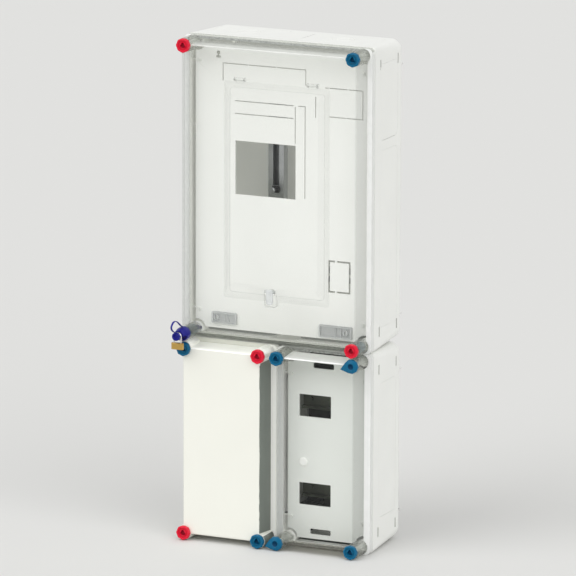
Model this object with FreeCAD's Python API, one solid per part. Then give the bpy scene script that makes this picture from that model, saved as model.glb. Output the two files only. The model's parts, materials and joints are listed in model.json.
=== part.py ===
import FreeCAD, Part
import math
import os
from dataclasses import dataclass

V = FreeCAD.Vector

# Electric meter cabinet of three insulated boxes: one wide meter box over two narrow boxes.
# All lengths are millimetres. X runs to the right, Y runs back into the wall and Z runs up.
# The wall is the plane Y = 0 and the origin is the middle of the wall fixing holes.
# A "depth" is a distance in front of the wall, so a depth of 10 lies at Y = -10.

# Modular grid of the boxes
GRID = 180.0
UPPER_COLUMNS = 2
UPPER_ROWS = 3
LOWER_COLUMNS = 1
LOWER_ROWS = 2

# Moulded base boxes
SIDE_GAP = 0.25
DRAFT = 3.0
WALL = 3.0
BACK_WALL = 3.5
BASE_DEPTH = 128.5
BACK_CORNER_R = 22.0
FRONT_CORNER_R = 8.0
BACK_EDGE_R = 17.0
INNER_EDGE_R = 13.0
RIM_START = 120.0
RIM_HEIGHT = 7.0
RIM_INSET = 3.4
RIM_WALL = 2.6

# Wall fixing holes and their bosses
FIXING_INSET = 32.0
FIXING_HOLE_R = 3.5
FIXING_BOSS_R = 8.0
FIXING_BOSS_TOP = 12.0

# Removable plates and joining frames in the side walls
PORT_NEAR = 36.0
PORT_FAR = 98.0
PORT_R = 5.0
PORT_LAP = 7.0
PORT_PAD = 6.0
PORT_SKIN = 2.0
PORT_CLEAR = 0.3
LONG_PORT = 228.0
SHORT_PORT = 121.0
UPPER_LONG_PORT = (107.0, 300.0)
UPPER_SHORT_PORT = (349.0, 121.0)
PORT_RIB = 6.0
FRAME_WALL = 2.4
FRAME_LIP = 2.4
FRAME_LIP_REACH = 5.0
WALL_SLOT = (4.5, 18.0)
WALL_SLOT_DEPTH = 1.2
WALL_SLOT_INSET = 34.0
WALL_SLOT_DEPTHS = (27.5, 104.5)
KNOCKOUT_RADII = (12.5, 20.0)
KNOCKOUT_GROOVE = 1.2
KNOCKOUT_DEPTH = 1.0

# Covers
SEAL_WIDTH = 3.6
SEAL_HEIGHT = 2.5
SEAL_GAP = 0.3
COVER_GAP = 0.5
COVER_LIFT = 0.3
FLANGE_THICKNESS = 2.7
FLANGE_R = 8.5
SKIRT_WALL = 2.4
SKIRT_END = 129.0
RAISED_HEIGHT = 39.0
UPPER_RAISED_INSET = (12.9, 11.5)
LOWER_RAISED_INSET = (15.5, 11.5)
RAISED_DRAFT = 3.5
RAISED_R = 5.0
COVER_WALL = 2.4
COVER_EDGE_R = 3.0
TOWER_INSET_X = 18.0
TOWER_INSET_Z = 13.7
TOWER_R = 13.2
TOWER_WALL = 2.2

# Quarter-turn locks
SHAFT_R = 4.6
SHAFT_CLEAR = 0.4
HEAD_R = 13.0
HEAD_GAP = 0.4
HEAD_HEIGHT = 6.9
HEAD_CHAMFER = 1.4
FLUTES = 6
FLUTE_R = 2.6
SOCKET_R = 4.4
SOCKET_DEPTH = 4.2
WING_R = 6.6
WING_WIDTH = 5.6
WING_HEIGHT = 5.0
WING_CLEAR = 0.4
WING_SLOT_REACH = 9.0
LEDGE_HEIGHT = 4.0
POST_R = 11.2
POST_BORE_R = 9.2
POST_START = 104.0
POST_BORE_START = 108.0
SLEEVE_R = 9.0
SLEEVE_LENGTH = 34.0
POINTER_REACH = 19.5
POINTER_TIP_R = 1.8
POINTER_THICKNESS = 6.2

# Lock with a hood, a neck for a padlock and a sealing strap
HOOD_R = 12.4
HOOD_FRONT_R = 9.0
HOOD_LENGTH = 23.5
HOOD_WALL = 1.8
NECK_R = 3.5
NECK_GAP = 5.6
DISC_R = 7.4
DISC_HEIGHT = 5.6
DISC_DISH_R = 4.6
DISC_DISH = 2.2
STRAP_WIDTH = 3.2
STRAP_THICKNESS = 1.3
SHACKLE_WIRE_R = 1.6
SHACKLE_INNER_R = 5.0
SHACKLE_REST_GAP = 0.3
PADLOCK_WIDTH = 22.0
PADLOCK_HEIGHT = 11.5
PADLOCK_THICKNESS = 7.0
PADLOCK_DROP = 12.2
PADLOCK_CORNER_R = 1.6
LONG_LEG = 9.0
SHORT_LEG = 4.5
LEG_CLEAR = 0.06
LEG_END_GAP = 0.7
KEYWAY_R = 2.2

# Window flap of the meter box cover
FLAP_LEFT = -85.0
FLAP_RIGHT = 118.0
FLAP_BOTTOM = -4.0
FLAP_TOP = 381.0
FLAP_BEVEL_X = 17.6
FLAP_BEVEL_Z = 28.0
FLAP_RISE = 12.0
FLAP_WALL = 2.4
FLAP_R = 5.0
FLAP_GAP = 0.4
FLAP_LIP = 11.0
WINDOW_R = 6.0
HINGE_PIN_R = 1.5
HINGE_CLEAR = 0.05
KNUCKLE_R = 3.4
KNUCKLE_LENGTH = 16.0
KNUCKLE_INSET = 24.0
KNUCKLE_GAP = 0.4
LATCH_X = 9.0
LATCH_RISE = 16.5
LATCH_BOSS_R = 6.0
LATCH_STEM_R = 3.0
LATCH_PAD = 10.4
LATCH_PAD_WIDTH = 22.0
LATCH_PAD_BELOW = 8.0
LATCH_PAD_ABOVE = 26.0
LATCH_HANDLE_WIDTH = 12.6
LATCH_HANDLE_DOWN = 20.0
LATCH_HANDLE_UP = 7.5
LATCH_HANDLE = 3.0
LATCH_TONGUE = 17.0
LATCH_TONGUE_THICKNESS = 2.2
LATCH_CLEAR = 0.06

# Meter plate and the things behind it
PLATE_INSET_X = 15.0
PLATE_INSET_Z = 17.0
PLATE_THICKNESS = 3.0
PLATE_FRONT = 128.0
PLATE_NOTCH = 16.5
SLOT_WIDTH = 1.7
SLOT_BRIDGE = 3.4
METER_WINDOW = (-88.0, 28.0, 169.5, 265.0)
PILLAR_R = 5.5
PILLAR_INSET = 22.0
PILLAR_WEB = 3.0
SCREW_R = 1.8
SCREW_HEAD_R = 3.8
SCREW_HEAD = 2.2
SCREW_LENGTH = 10.0
BAR_SEAT = 30.0
BAR_WIDTH = 26.0
BAR_THICKNESS = 2.0
BAR_INSET = 26.0
BAR_HEIGHTS = (20.0, 330.0)
BAR_BOSS_R = 7.0
RAIL_X = -47.0
RAIL_WIDTH = 30.0
RAIL_DEPTH = 16.0
RAIL_WALL = 2.0
RAIL_SLOT = 12.0
RAIL_BOTTOM = 2.0
RAIL_TOP = 348.0
HOOK_Z = 168.0
HOOK_R = 5.2
HOOK_STEM_R = 2.5
HOOK_NUT = 13.0
HOOK_REACH = 12.0
CLIP_THICKNESS = 4.5
CLIP_SEAT = 0.0
LEFT_CLIP = (-132.0, -84.0, -64.0, -43.5)
RIGHT_CLIP = (75.0, 138.5, -69.5, -47.5)
KEYHOLE = (-121.0, 418.0)

# Lower right device plate, its rails and plug
WINDOW_WIDTH = 61.0
WINDOW_HEIGHT = 40.0
WINDOW_X = 67.5
WINDOW_HEIGHTS = (-195.8, -355.0)
DEVICE_SLOT = (40.0, 10.0)
DEVICE_SLOTS = ((83.5, -122.4), (78.5, -422.0))
DEVICE_INSET_X = 15.0
DEVICE_INSET_Z = 15.0
PLUG_PLACE = (45.4, -297.6)
PLUG_R = 8.4
PLUG_HEAD = 2.6
PLUG_STEM_R = 4.5
PLUG_STEM = 7.0
TOPHAT_SEAT = 74.0
TOPHAT_HEIGHT = 35.0
TOPHAT_WEB = 27.0
TOPHAT_DEPTH = 7.5
TOPHAT_METAL = 1.0
TOPHAT_INSET = 20.0
TOPHAT_SCREW_INSET = 36.0

# Lower left mounting plate
BOARD_SEAT = 20.0
BOARD_THICKNESS = 2.0
BOARD_INSET = 17.0
BOARD_BOSS_R = 6.0
BOARD_SCREW_INSET = 50.0
BOARD_SLOT = (5.0, 26.0)


@dataclass(frozen=True)
class Area:
    """A rectangle seen from the front."""

    x0: float
    x1: float
    z0: float
    z1: float

    def inset(self, dx, dz=None):
        dz = dx if dz is None else dz
        return Area(self.x0 + dx, self.x1 - dx, self.z0 + dz, self.z1 - dz)

    @property
    def centre(self):
        return (self.x0 + self.x1) / 2, (self.z0 + self.z1) / 2

    def corners(self, dx, dz):
        """The four points that lie dx and dz inside the corners, with the corner's name."""
        inner = self.inset(dx, dz)
        return {
            "top_left": (inner.x0, inner.z1),
            "top_right": (inner.x1, inner.z1),
            "bottom_left": (inner.x0, inner.z0),
            "bottom_right": (inner.x1, inner.z0),
        }


TOTAL_HEIGHT = (UPPER_ROWS + LOWER_ROWS) * GRID
HALF_WIDTH = UPPER_COLUMNS * GRID / 2
FLOOR = -TOTAL_HEIGHT / 2
JOINT_LEVEL = FLOOR + LOWER_ROWS * GRID
UPPER = Area(-HALF_WIDTH, HALF_WIDTH, JOINT_LEVEL, JOINT_LEVEL + UPPER_ROWS * GRID)
LEFT = Area(-HALF_WIDTH, -HALF_WIDTH + LOWER_COLUMNS * GRID, FLOOR, JOINT_LEVEL)
RIGHT = Area(HALF_WIDTH - LOWER_COLUMNS * GRID, HALF_WIDTH, FLOOR, JOINT_LEVEL)

RIM_TOP = BASE_DEPTH + RIM_HEIGHT
FLANGE_BACK = RIM_TOP + SEAL_HEIGHT + COVER_LIFT
FLANGE_FRONT = FLANGE_BACK + FLANGE_THICKNESS
COVER_FRONT = FLANGE_FRONT + RAISED_HEIGHT
HEAD_BACK = COVER_FRONT + HEAD_GAP
HEAD_FRONT = HEAD_BACK + HEAD_HEIGHT
LEDGE_TOP = BASE_DEPTH
WING_FRONT = LEDGE_TOP - LEDGE_HEIGHT - WING_CLEAR
PLATE_BACK = PLATE_FRONT - PLATE_THICKNESS

NODES = {}


def keep(name, *solids):
    """Stores the solids of one node under its name."""
    found = [solid for shape in solids for solid in shape.Solids]
    NODES[name] = found[0] if len(found) == 1 else Part.Compound(found)


def joined(*shapes):
    return shapes[0].multiFuse(list(shapes[1:])).removeSplitter()


def less(shape, *tools):
    return shape.cut(list(tools)) if tools else shape


def rounded_wire(u0, u1, v0, v1, r, place):
    """A closed rectangle with corner radius r. place turns (u, v) into a point."""
    k = r * (1 - math.sqrt(0.5))
    if r <= 0:
        ring = [place(u0, v0), place(u1, v0), place(u1, v1), place(u0, v1), place(u0, v0)]
        return Part.makePolygon(ring)
    stops = [
        ((u0 + r, v0), (u1 - r, v0), (u1 - k, v0 + k), (u1, v0 + r)),
        ((u1, v0 + r), (u1, v1 - r), (u1 - k, v1 - k), (u1 - r, v1)),
        ((u1 - r, v1), (u0 + r, v1), (u0 + k, v1 - k), (u0, v1 - r)),
        ((u0, v1 - r), (u0, v0 + r), (u0 + k, v0 + k), (u0 + r, v0)),
    ]
    edges = []
    for start, end, mid, stop in stops:
        edges.append(Part.makeLine(place(*start), place(*end)))
        edges.append(Part.Arc(place(*end), place(*mid), place(*stop)).toShape())
    return Part.Wire(edges)


def outline(area, r, depth):
    return rounded_wire(area.x0, area.x1, area.z0, area.z1, r, lambda u, v: V(u, -depth, v))


def slab(area, r, near, far):
    """A straight block between two depths."""
    return Part.Face(outline(area, r, near)).extrude(V(0, near - far, 0))


def taper(back, back_r, near, front, front_r, far):
    """A block whose outline changes evenly between two depths."""
    return Part.makeLoft([outline(back, back_r, near), outline(front, front_r, far)], True, True)


def flat_taper(back, back_r, near, front, front_r, far):
    """The same block with truly flat sides, for pieces that follow a drafted wall."""
    rear, fore = outline(back, back_r, near), outline(front, front_r, far)
    faces = [Part.Face(rear), Part.Face(fore)]
    for low, high in zip(rear.OrderedEdges, fore.OrderedEdges):
        if isinstance(low.Curve, Part.Line):
            a, b, c, d = (low.valueAt(low.FirstParameter), low.valueAt(low.LastParameter),
                          high.valueAt(high.LastParameter), high.valueAt(high.FirstParameter))
            faces.append(Part.Face(Part.makePolygon([a, b, c, d, a])))
        else:
            faces.append(Part.makeRuledSurface(low, high))
    shell = Part.makeShell(faces)
    shell.sewShape()
    solid = Part.makeSolid(shell)
    if solid.Volume < 0:
        solid.reverse()
    return solid


def rod(x, z, r, near, far):
    """A round bar that points away from the wall."""
    return Part.makeCylinder(r, far - near, V(x, -near, z), V(0, -1, 0))


def block(x0, x1, near, far, z0, z1):
    return Part.makeBox(x1 - x0, far - near, z1 - z0, V(x0, -far, z0))


def turned(x, z, profile):
    """A solid of revolution on an axis that points away from the wall. profile holds (radius, depth)."""
    points = [V(x + r, -depth, z) for r, depth in profile]
    face = Part.Face(Part.makePolygon(points + points[:1]))
    return face.revolve(V(x, 0, z), V(0, -1, 0), 360)


def draft_inset(depth):
    return SIDE_GAP + DRAFT * (1 - depth / BASE_DEPTH)


def corner_radius(depth):
    return BACK_CORNER_R + (FRONT_CORNER_R - BACK_CORNER_R) * depth / BASE_DEPTH


def tub(area, extra, near, far, form=taper):
    """The drafted form of a base box, shrunk by extra on every side."""
    return form(
        area.inset(draft_inset(near) + extra), max(corner_radius(near) - extra, 1.0), near,
        area.inset(draft_inset(far) + extra), max(corner_radius(far) - extra, 1.0), far,
    )


def back_edges(shape, depth):
    """The edges of the face that closes the form at this depth."""
    face = [f for f in shape.Faces if abs(f.CenterOfMass.y + depth) < 0.01][0]
    return face.Edges


@dataclass(frozen=True)
class Port:
    """A place in a side wall for a blanking plate or a joining frame."""

    area: Area
    side: str
    middle: float
    length: float

    def prism(self, grow, reach_out=3.0, reach_in=14.0):
        """A rounded block through the wall. grow widens the opening on every side."""
        u0 = self.middle - self.length / 2 - grow
        u1 = self.middle + self.length / 2 + grow
        v0, v1 = PORT_NEAR - grow, PORT_FAR + grow
        r = max(PORT_R + grow, 1.0)
        a = self.area
        if self.side == "left":
            start, way = a.x0 - reach_out, V(1, 0, 0)
        elif self.side == "right":
            start, way = a.x1 + reach_out, V(-1, 0, 0)
        elif self.side == "bottom":
            start, way = a.z0 - reach_out, V(0, 0, 1)
        else:
            start, way = a.z1 + reach_out, V(0, 0, -1)
        if self.side in ("left", "right"):
            wire = rounded_wire(u0, u1, v0, v1, r, lambda u, v: V(start, -v, u))
        else:
            wire = rounded_wire(u0, u1, v0, v1, r, lambda u, v: V(u, -v, start))
        return Part.Face(wire).extrude(way * (reach_out + reach_in))

    def skin(self, grow, outer, inner):
        """The part of the prism that lies between two insets of the drafted wall."""
        whole = tub(self.area, outer, 0, BASE_DEPTH, flat_taper)
        return whole.cut(tub(self.area, inner, 0, BASE_DEPTH, flat_taper)).common(self.prism(grow))


def upper_side_ports(side):
    return [Port(UPPER, side, *place) for place in (UPPER_LONG_PORT, UPPER_SHORT_PORT)]


def lower_side_port(area, side):
    return Port(area, side, area.centre[1], LONG_PORT)


def end_port(area, side, middle):
    return Port(area, side, middle, SHORT_PORT)


BLANK_PORTS = {
    "side_plate_upper_left": upper_side_ports("left"),
    "side_plate_upper_right": upper_side_ports("right"),
    "side_plate_lower_left": [lower_side_port(LEFT, "left")],
    "side_plate_lower_right": [lower_side_port(RIGHT, "right")],
    "entry_plate_top": [end_port(UPPER, "top", area.centre[0]) for area in (LEFT, RIGHT)],
    "entry_plate_bottom_left": [end_port(LEFT, "bottom", LEFT.centre[0])],
    "entry_plate_bottom_right": [end_port(RIGHT, "bottom", RIGHT.centre[0])],
}
FRAME_PORTS = {
    "joining_frame_middle": [lower_side_port(LEFT, "right"), lower_side_port(RIGHT, "left")],
    "joining_frame_left": [
        end_port(UPPER, "bottom", LEFT.centre[0]), end_port(LEFT, "top", LEFT.centre[0])],
    "joining_frame_right": [
        end_port(UPPER, "bottom", RIGHT.centre[0]), end_port(RIGHT, "top", RIGHT.centre[0])],
}


def ports_of(area):
    groups = list(BLANK_PORTS.values()) + list(FRAME_PORTS.values())
    return [port for group in groups for port in group if port.area == area]


def pillar(x, z, top, radius=PILLAR_R):
    return rod(x, z, radius, BACK_WALL / 2, top)


def screw_hole(x, z, top):
    return rod(x, z, SCREW_R, top - SCREW_LENGTH, top + 1)


def web_to_wall(area, x, z, near, far):
    """A rib from a pillar to the nearest side wall."""
    wall_x = area.x0 + SIDE_GAP + WALL / 2 if x < area.centre[0] else area.x1 - SIDE_GAP - WALL / 2
    x0, x1 = sorted((x, wall_x))
    rib = block(x0, x1, near, far, z - PILLAR_WEB / 2, z + PILLAR_WEB / 2)
    return rib.common(tub(area, WALL / 2, near, far))


def lock_posts(area):
    """Corner posts that hold the catch ledges of the locks."""
    solids, bores = [], []
    for x, z in area.corners(TOWER_INSET_X, TOWER_INSET_Z).values():
        post = rod(x, z, POST_R, POST_START, LEDGE_TOP)
        solids.append(post.common(tub(area, WALL / 2, POST_START, LEDGE_TOP)))
        solids.append(web_to_wall(area, x, z, POST_START, LEDGE_TOP))
        bores.append(rod(x, z, POST_BORE_R, POST_BORE_START, LEDGE_TOP - LEDGE_HEIGHT))
        bores.append(rod(x, z, SHAFT_R + SHAFT_CLEAR, POST_BORE_START, LEDGE_TOP + 1))
        half = WING_WIDTH / 2 + WING_CLEAR
        x0, x1 = x - WING_SLOT_REACH, x + WING_SLOT_REACH
        bores.append(block(x0, x1, POST_BORE_START, LEDGE_TOP + 1, z - half, z + half))
    return solids, bores


def plate_pillars(area, offset):
    """The places of the four pillars that carry a front plate."""
    x_mid, z_mid = area.centre
    reach = (area.x1 - area.x0) / 2 - PILLAR_INSET
    return [(x_mid + sx * reach, z_mid + sz * offset) for sx in (-1, 1) for sz in (-1, 1)]


UPPER_PLATE_SCREWS = plate_pillars(UPPER, 222.0)
RIGHT_PLATE_SCREWS = plate_pillars(RIGHT, 128.0)
BAR_PLACES = [
    (side * (HALF_WIDTH - BAR_INSET - BAR_WIDTH / 2), level)
    for level in BAR_HEIGHTS for side in (-1, 1)]
TOPHAT_PLACES = [
    (x, level) for level in WINDOW_HEIGHTS
    for x in (RIGHT.x0 + TOPHAT_SCREW_INSET, RIGHT.x1 - TOPHAT_SCREW_INSET)]
BOARD_PLACES = [
    (LEFT.centre[0] + sx * (GRID / 2 - BOARD_SCREW_INSET), LEFT.centre[1] + sz * (GRID - BOARD_SCREW_INSET))
    for sx in (-1, 1) for sz in (-1, 1)]


def wall_slots(area):
    """Shallow slots near the corners of the outer side walls."""
    solids = []
    half = WALL_SLOT[0] / 2
    for wall_x in (area.x0, area.x1):
        if abs(wall_x) < HALF_WIDTH:
            continue
        for z in (area.z0 + WALL_SLOT_INSET, area.z1 - WALL_SLOT_INSET):
            for depth in WALL_SLOT_DEPTHS:
                solids.append(block(wall_x - 2 * DRAFT, wall_x + 2 * DRAFT, depth - half, depth + half,
                                    z - WALL_SLOT[1] / 2, z + WALL_SLOT[1] / 2))
    return [solid.cut(tub(area, WALL_SLOT_DEPTH, 0, BASE_DEPTH, flat_taper)) for solid in solids]


def base_box(area, plate_screws, seats):
    """A moulded base. seats holds (x, z, boss radius, seat depth) of what it carries inside."""
    body = tub(area, 0, 0, BASE_DEPTH)
    body = body.makeFillet(BACK_EDGE_R, back_edges(body, 0))
    hollow = tub(area, WALL, BACK_WALL, RIM_START)
    hollow = hollow.makeFillet(INNER_EDGE_R, back_edges(hollow, BACK_WALL))
    rim_area = area.inset(RIM_INSET)
    mouth_area = rim_area.inset(RIM_WALL)
    body = joined(body, slab(rim_area, FRONT_CORNER_R - RIM_INSET, BASE_DEPTH - 1, RIM_TOP))
    body = less(body, hollow, slab(mouth_area, RIM_WALL, RIM_START - 0.01, RIM_TOP + 1))
    added, holes = lock_posts(area)
    for x, z in area.corners(FIXING_INSET, FIXING_INSET).values():
        added.append(rod(x, z, FIXING_BOSS_R, BACK_WALL / 2, FIXING_BOSS_TOP))
        holes.append(rod(x, z, FIXING_HOLE_R, -1, FIXING_BOSS_TOP + 1))
    for x, z in plate_screws:
        added.append(pillar(x, z, PLATE_BACK))
        added.append(web_to_wall(area, x, z, BACK_WALL, RIM_START))
        holes.append(screw_hole(x, z, PLATE_BACK))
    for x, z, radius, seat in seats:
        added.append(pillar(x, z, seat, radius))
        holes.append(screw_hole(x, z, seat))
    for port in ports_of(area):
        added.append(port.skin(PORT_LAP + PORT_RIB, WALL / 2, PORT_PAD))
        holes.append(port.skin(PORT_LAP, -1.0, PORT_SKIN + PORT_CLEAR))
        holes.append(port.prism(0))
    return less(joined(body, *added), *holes, *wall_slots(area))


def blanking_plate(port, entry):
    """A flush plate with a skirt that plugs the opening."""
    lid = port.skin(PORT_LAP - PORT_CLEAR, 0, PORT_SKIN)
    collar = port.skin(-PORT_CLEAR, PORT_SKIN / 2, PORT_PAD + FRAME_LIP)
    collar = collar.cut(port.prism(-PORT_CLEAR - FRAME_WALL, 3.0, 30.0).common(
        tub(port.area, PORT_SKIN, 0, BASE_DEPTH, flat_taper)))
    plate = joined(lid, collar)
    if not entry:
        return plate
    z = port.area.z0 if port.side == "bottom" else port.area.z1
    skin = port.skin(0, -1.0, KNOCKOUT_DEPTH)
    reach = DRAFT + PORT_PAD
    foot = V(port.middle, -(PORT_NEAR + PORT_FAR) / 2, z - reach)
    rings = []
    for radius in KNOCKOUT_RADII:
        outer = Part.makeCylinder(radius, 2 * reach, foot)
        inner = Part.makeCylinder(radius - KNOCKOUT_GROOVE, 2 * reach, foot)
        rings.append(outer.cut(inner).common(skin))
    return less(plate, *rings)


def joining_frame(port):
    """Half of the frame that joins two boxes and lets cables pass."""
    reach = 0.0
    tube = port.prism(-PORT_CLEAR, reach).cut(port.prism(-PORT_CLEAR - FRAME_WALL, 3.0, 30.0))
    tube = tube.cut(tub(port.area, PORT_PAD + FRAME_LIP, 0, BASE_DEPTH, flat_taper))
    lip = port.skin(FRAME_LIP_REACH, PORT_PAD, PORT_PAD + FRAME_LIP)
    return joined(tube, lip.cut(port.prism(-PORT_CLEAR - FRAME_WALL, 3.0, 30.0)))


def seal(area):
    """The seal that lies on the rim of a base, under the cover flange."""
    skirt_r = FLANGE_R - SKIRT_WALL
    outer = area.inset(COVER_GAP + SKIRT_WALL + SEAL_GAP)
    return slab(outer, skirt_r, RIM_TOP, RIM_TOP + SEAL_HEIGHT).cut(
        slab(outer.inset(SEAL_WIDTH), skirt_r - SEAL_WIDTH, RIM_TOP - 1, RIM_TOP + SEAL_HEIGHT + 1))


def raised_block(area, extra, near, far):
    """The raised middle of a cover, shrunk by extra, between two depths."""
    inset_x, inset_z = UPPER_RAISED_INSET if area == UPPER else LOWER_RAISED_INSET

    def at(depth):
        lean = RAISED_DRAFT * (COVER_FRONT - depth) / RAISED_HEIGHT
        return area.inset(inset_x - lean + extra, inset_z - lean + extra)

    r = max(RAISED_R - extra, 1.0)
    return taper(at(near), r, near, at(far), r, far)


def cover(area):
    """A cover with flange, skirt, raised middle and four hollow corner towers."""
    edge = area.inset(COVER_GAP)
    flange = slab(edge, FLANGE_R, SKIRT_END, FLANGE_FRONT)
    inside = slab(edge.inset(SKIRT_WALL), FLANGE_R - SKIRT_WALL, SKIRT_END - 1, FLANGE_BACK)
    middle = raised_block(area, 0, FLANGE_BACK, COVER_FRONT)
    middle = middle.makeFillet(COVER_EDGE_R, back_edges(middle, COVER_FRONT))
    towers = [rod(x, z, TOWER_R, FLANGE_BACK, COVER_FRONT)
              for x, z in area.corners(TOWER_INSET_X, TOWER_INSET_Z).values()]
    body = joined(flange, middle, *towers)
    tower_area = area.corners(TOWER_INSET_X, TOWER_INSET_Z).values()
    hollow = raised_block(area, COVER_WALL, FLANGE_BACK - 1, COVER_FRONT - COVER_WALL)
    hollow = hollow.makeFillet(COVER_EDGE_R - COVER_WALL, back_edges(hollow, COVER_FRONT - COVER_WALL))
    sleeves = [rod(x, z, TOWER_R, FLANGE_BACK - 2, COVER_FRONT) for x, z in tower_area]
    bores = [rod(x, z, TOWER_R - TOWER_WALL, FLANGE_BACK - 2, COVER_FRONT - COVER_WALL)
             for x, z in tower_area]
    holes = [rod(x, z, SHAFT_R + SHAFT_CLEAR, FLANGE_BACK, COVER_FRONT + 1) for x, z in tower_area]
    return less(body, inside, less(hollow, *sleeves), *bores, *holes)


FLAP = Area(FLAP_LEFT, FLAP_RIGHT, FLAP_BOTTOM, FLAP_TOP)
FLAP_BACK = COVER_FRONT + FLAP_GAP
FLAP_FRONT = FLAP_BACK + FLAP_RISE
HINGE_DEPTH = COVER_FRONT + KNUCKLE_R + KNUCKLE_GAP
HINGE_Z = FLAP_TOP + KNUCKLE_R + KNUCKLE_GAP
KNUCKLE_STARTS = (FLAP_LEFT + KNUCKLE_INSET, FLAP_RIGHT - KNUCKLE_INSET - KNUCKLE_LENGTH)
LATCH_Z = FLAP_BOTTOM + LATCH_RISE
LATCH_PAD_FRONT = FLAP_BACK + LATCH_PAD


def along_x(x0, x1, r, depth, z):
    return Part.makeCylinder(r, x1 - x0, V(x0, -depth, z), V(1, 0, 0))


def window_flap():
    """A raised, bevelled pane that hinges at its top edge."""
    inner = FLAP.inset(FLAP_BEVEL_X, FLAP_BEVEL_Z)
    body = taper(FLAP, FLAP_R, FLAP_BACK, inner, FLAP_R, FLAP_FRONT)
    hollow = taper(
        FLAP.inset(FLAP_WALL), FLAP_R - FLAP_WALL / 2, FLAP_BACK - 0.01,
        inner.inset(FLAP_WALL), FLAP_R - FLAP_WALL / 2, FLAP_FRONT - FLAP_WALL)
    knuckles = []
    for start in KNUCKLE_STARTS:
        end = start + KNUCKLE_LENGTH
        round_part = along_x(start, end, KNUCKLE_R, HINGE_DEPTH, HINGE_Z)
        arm = block(start, end, FLAP_BACK, FLAP_BACK + FLAP_WALL, FLAP_TOP - FLAP_WALL, HINGE_Z)
        knuckles += [round_part, arm]
    pad_area = Area(LATCH_X - LATCH_PAD_WIDTH / 2, LATCH_X + LATCH_PAD_WIDTH / 2,
                    FLAP_BOTTOM - LATCH_PAD_BELOW, FLAP_BOTTOM + LATCH_PAD_ABOVE)
    pad = less(slab(pad_area, 4.0, FLAP_BACK, LATCH_PAD_FRONT), hollow)
    boss = rod(LATCH_X, LATCH_Z, LATCH_BOSS_R, FLAP_BACK + 0.5, LATCH_PAD_FRONT)
    body = joined(body.cut(hollow), *knuckles, pad, boss)
    pin_hole = along_x(FLAP_LEFT, FLAP_RIGHT, HINGE_PIN_R + HINGE_CLEAR, HINGE_DEPTH, HINGE_Z)
    stem_hole = rod(LATCH_X, LATCH_Z, LATCH_STEM_R + LATCH_CLEAR, FLAP_BACK - 1, FLAP_FRONT + 1)
    return less(body, pin_hole, stem_hole)


def hinge_ears():
    """The ears on the cover that hold the ends of the hinge pins."""
    ears = []
    for start in KNUCKLE_STARTS:
        for x in (start - KNUCKLE_GAP - FLAP_WALL, start + KNUCKLE_LENGTH + KNUCKLE_GAP):
            foot = block(x, x + FLAP_WALL, COVER_FRONT - COVER_WALL / 2, HINGE_DEPTH,
                         HINGE_Z - KNUCKLE_R, HINGE_Z + KNUCKLE_R)
            ears.append(joined(foot, along_x(x, x + FLAP_WALL, KNUCKLE_R, HINGE_DEPTH, HINGE_Z)))
    return ears


def hinge_pins():
    return [along_x(start - KNUCKLE_GAP - FLAP_WALL, start + KNUCKLE_LENGTH + KNUCKLE_GAP + FLAP_WALL,
                    HINGE_PIN_R, HINGE_DEPTH, HINGE_Z) for start in KNUCKLE_STARTS]


def flap_latch():
    """A quarter-turn catch: a flat handle before the flap and a tongue behind the cover face."""
    half = LATCH_HANDLE_WIDTH / 2
    near = LATCH_PAD_FRONT + FLAP_GAP
    far = near + LATCH_HANDLE
    area = Area(LATCH_X - half, LATCH_X + half, LATCH_Z - LATCH_HANDLE_DOWN, LATCH_Z + LATCH_HANDLE_UP)
    handle = slab(area, half - 0.1, near, far)
    handle = handle.makeFillet(0.8, back_edges(handle, far))
    hollow = rod(LATCH_X, area.z0 + half + 1, half - 2.4, far - 1.0, far + 1)
    tongue_far = COVER_FRONT - COVER_WALL - FLAP_GAP
    tongue_near = tongue_far - LATCH_TONGUE_THICKNESS
    stem = rod(LATCH_X, LATCH_Z, LATCH_STEM_R, tongue_near, near + 1)
    tongue = block(LATCH_X - LATCH_TONGUE, LATCH_X + LATCH_STEM_R, tongue_near, tongue_far,
                   LATCH_Z - LATCH_STEM_R, LATCH_Z + LATCH_STEM_R)
    return less(joined(handle, stem, tongue), hollow)


def upper_cover():
    opening = FLAP.inset(FLAP_LIP)
    body = joined(cover(UPPER), *hinge_ears())
    pin_holes = [along_x(FLAP_LEFT, FLAP_RIGHT, HINGE_PIN_R, HINGE_DEPTH, HINGE_Z)]
    return less(body, slab(opening, WINDOW_R, COVER_FRONT - COVER_WALL - 5, COVER_FRONT + 0.2), *pin_holes)


def shaft_and_wings(x, z, top):
    """The shaft of a lock and its two wings, which lie along X while the lock is open."""
    near = WING_FRONT - WING_HEIGHT
    wings = block(x - WING_R, x + WING_R, near, WING_FRONT, z - WING_WIDTH / 2, z + WING_WIDTH / 2)
    return [rod(x, z, SHAFT_R, near, top), wings.common(rod(x, z, WING_R, near, WING_FRONT))]


def lock_head(x, z):
    """A fluted round head with a key socket."""
    edge = HEAD_CHAMFER
    head = turned(x, z, [
        (0, HEAD_BACK), (HEAD_R, HEAD_BACK), (HEAD_R, HEAD_FRONT - 2 * edge),
        (HEAD_R - edge, HEAD_FRONT), (0, HEAD_FRONT)])
    flutes = []
    for i in range(FLUTES):
        turn = math.radians(360.0 / FLUTES * i + 15)
        reach = HEAD_R + FLUTE_R * 0.35
        flutes.append(rod(x + reach * math.cos(turn), z + reach * math.sin(turn), FLUTE_R,
                          HEAD_BACK + 2.5, HEAD_FRONT + 1))
    return less(head, *flutes)


def key_socket(x, z, sides, radius):
    """A socket with this many flat sides."""
    turns = [math.radians(90 + 360.0 / sides * i) for i in range(sides)]
    points = [V(x + radius * math.cos(t), -(HEAD_FRONT + 1), z + radius * math.sin(t)) for t in turns]
    face = Part.Face(Part.makePolygon(points + points[:1]))
    return face.extrude(V(0, SOCKET_DEPTH + 1, 0))


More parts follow.
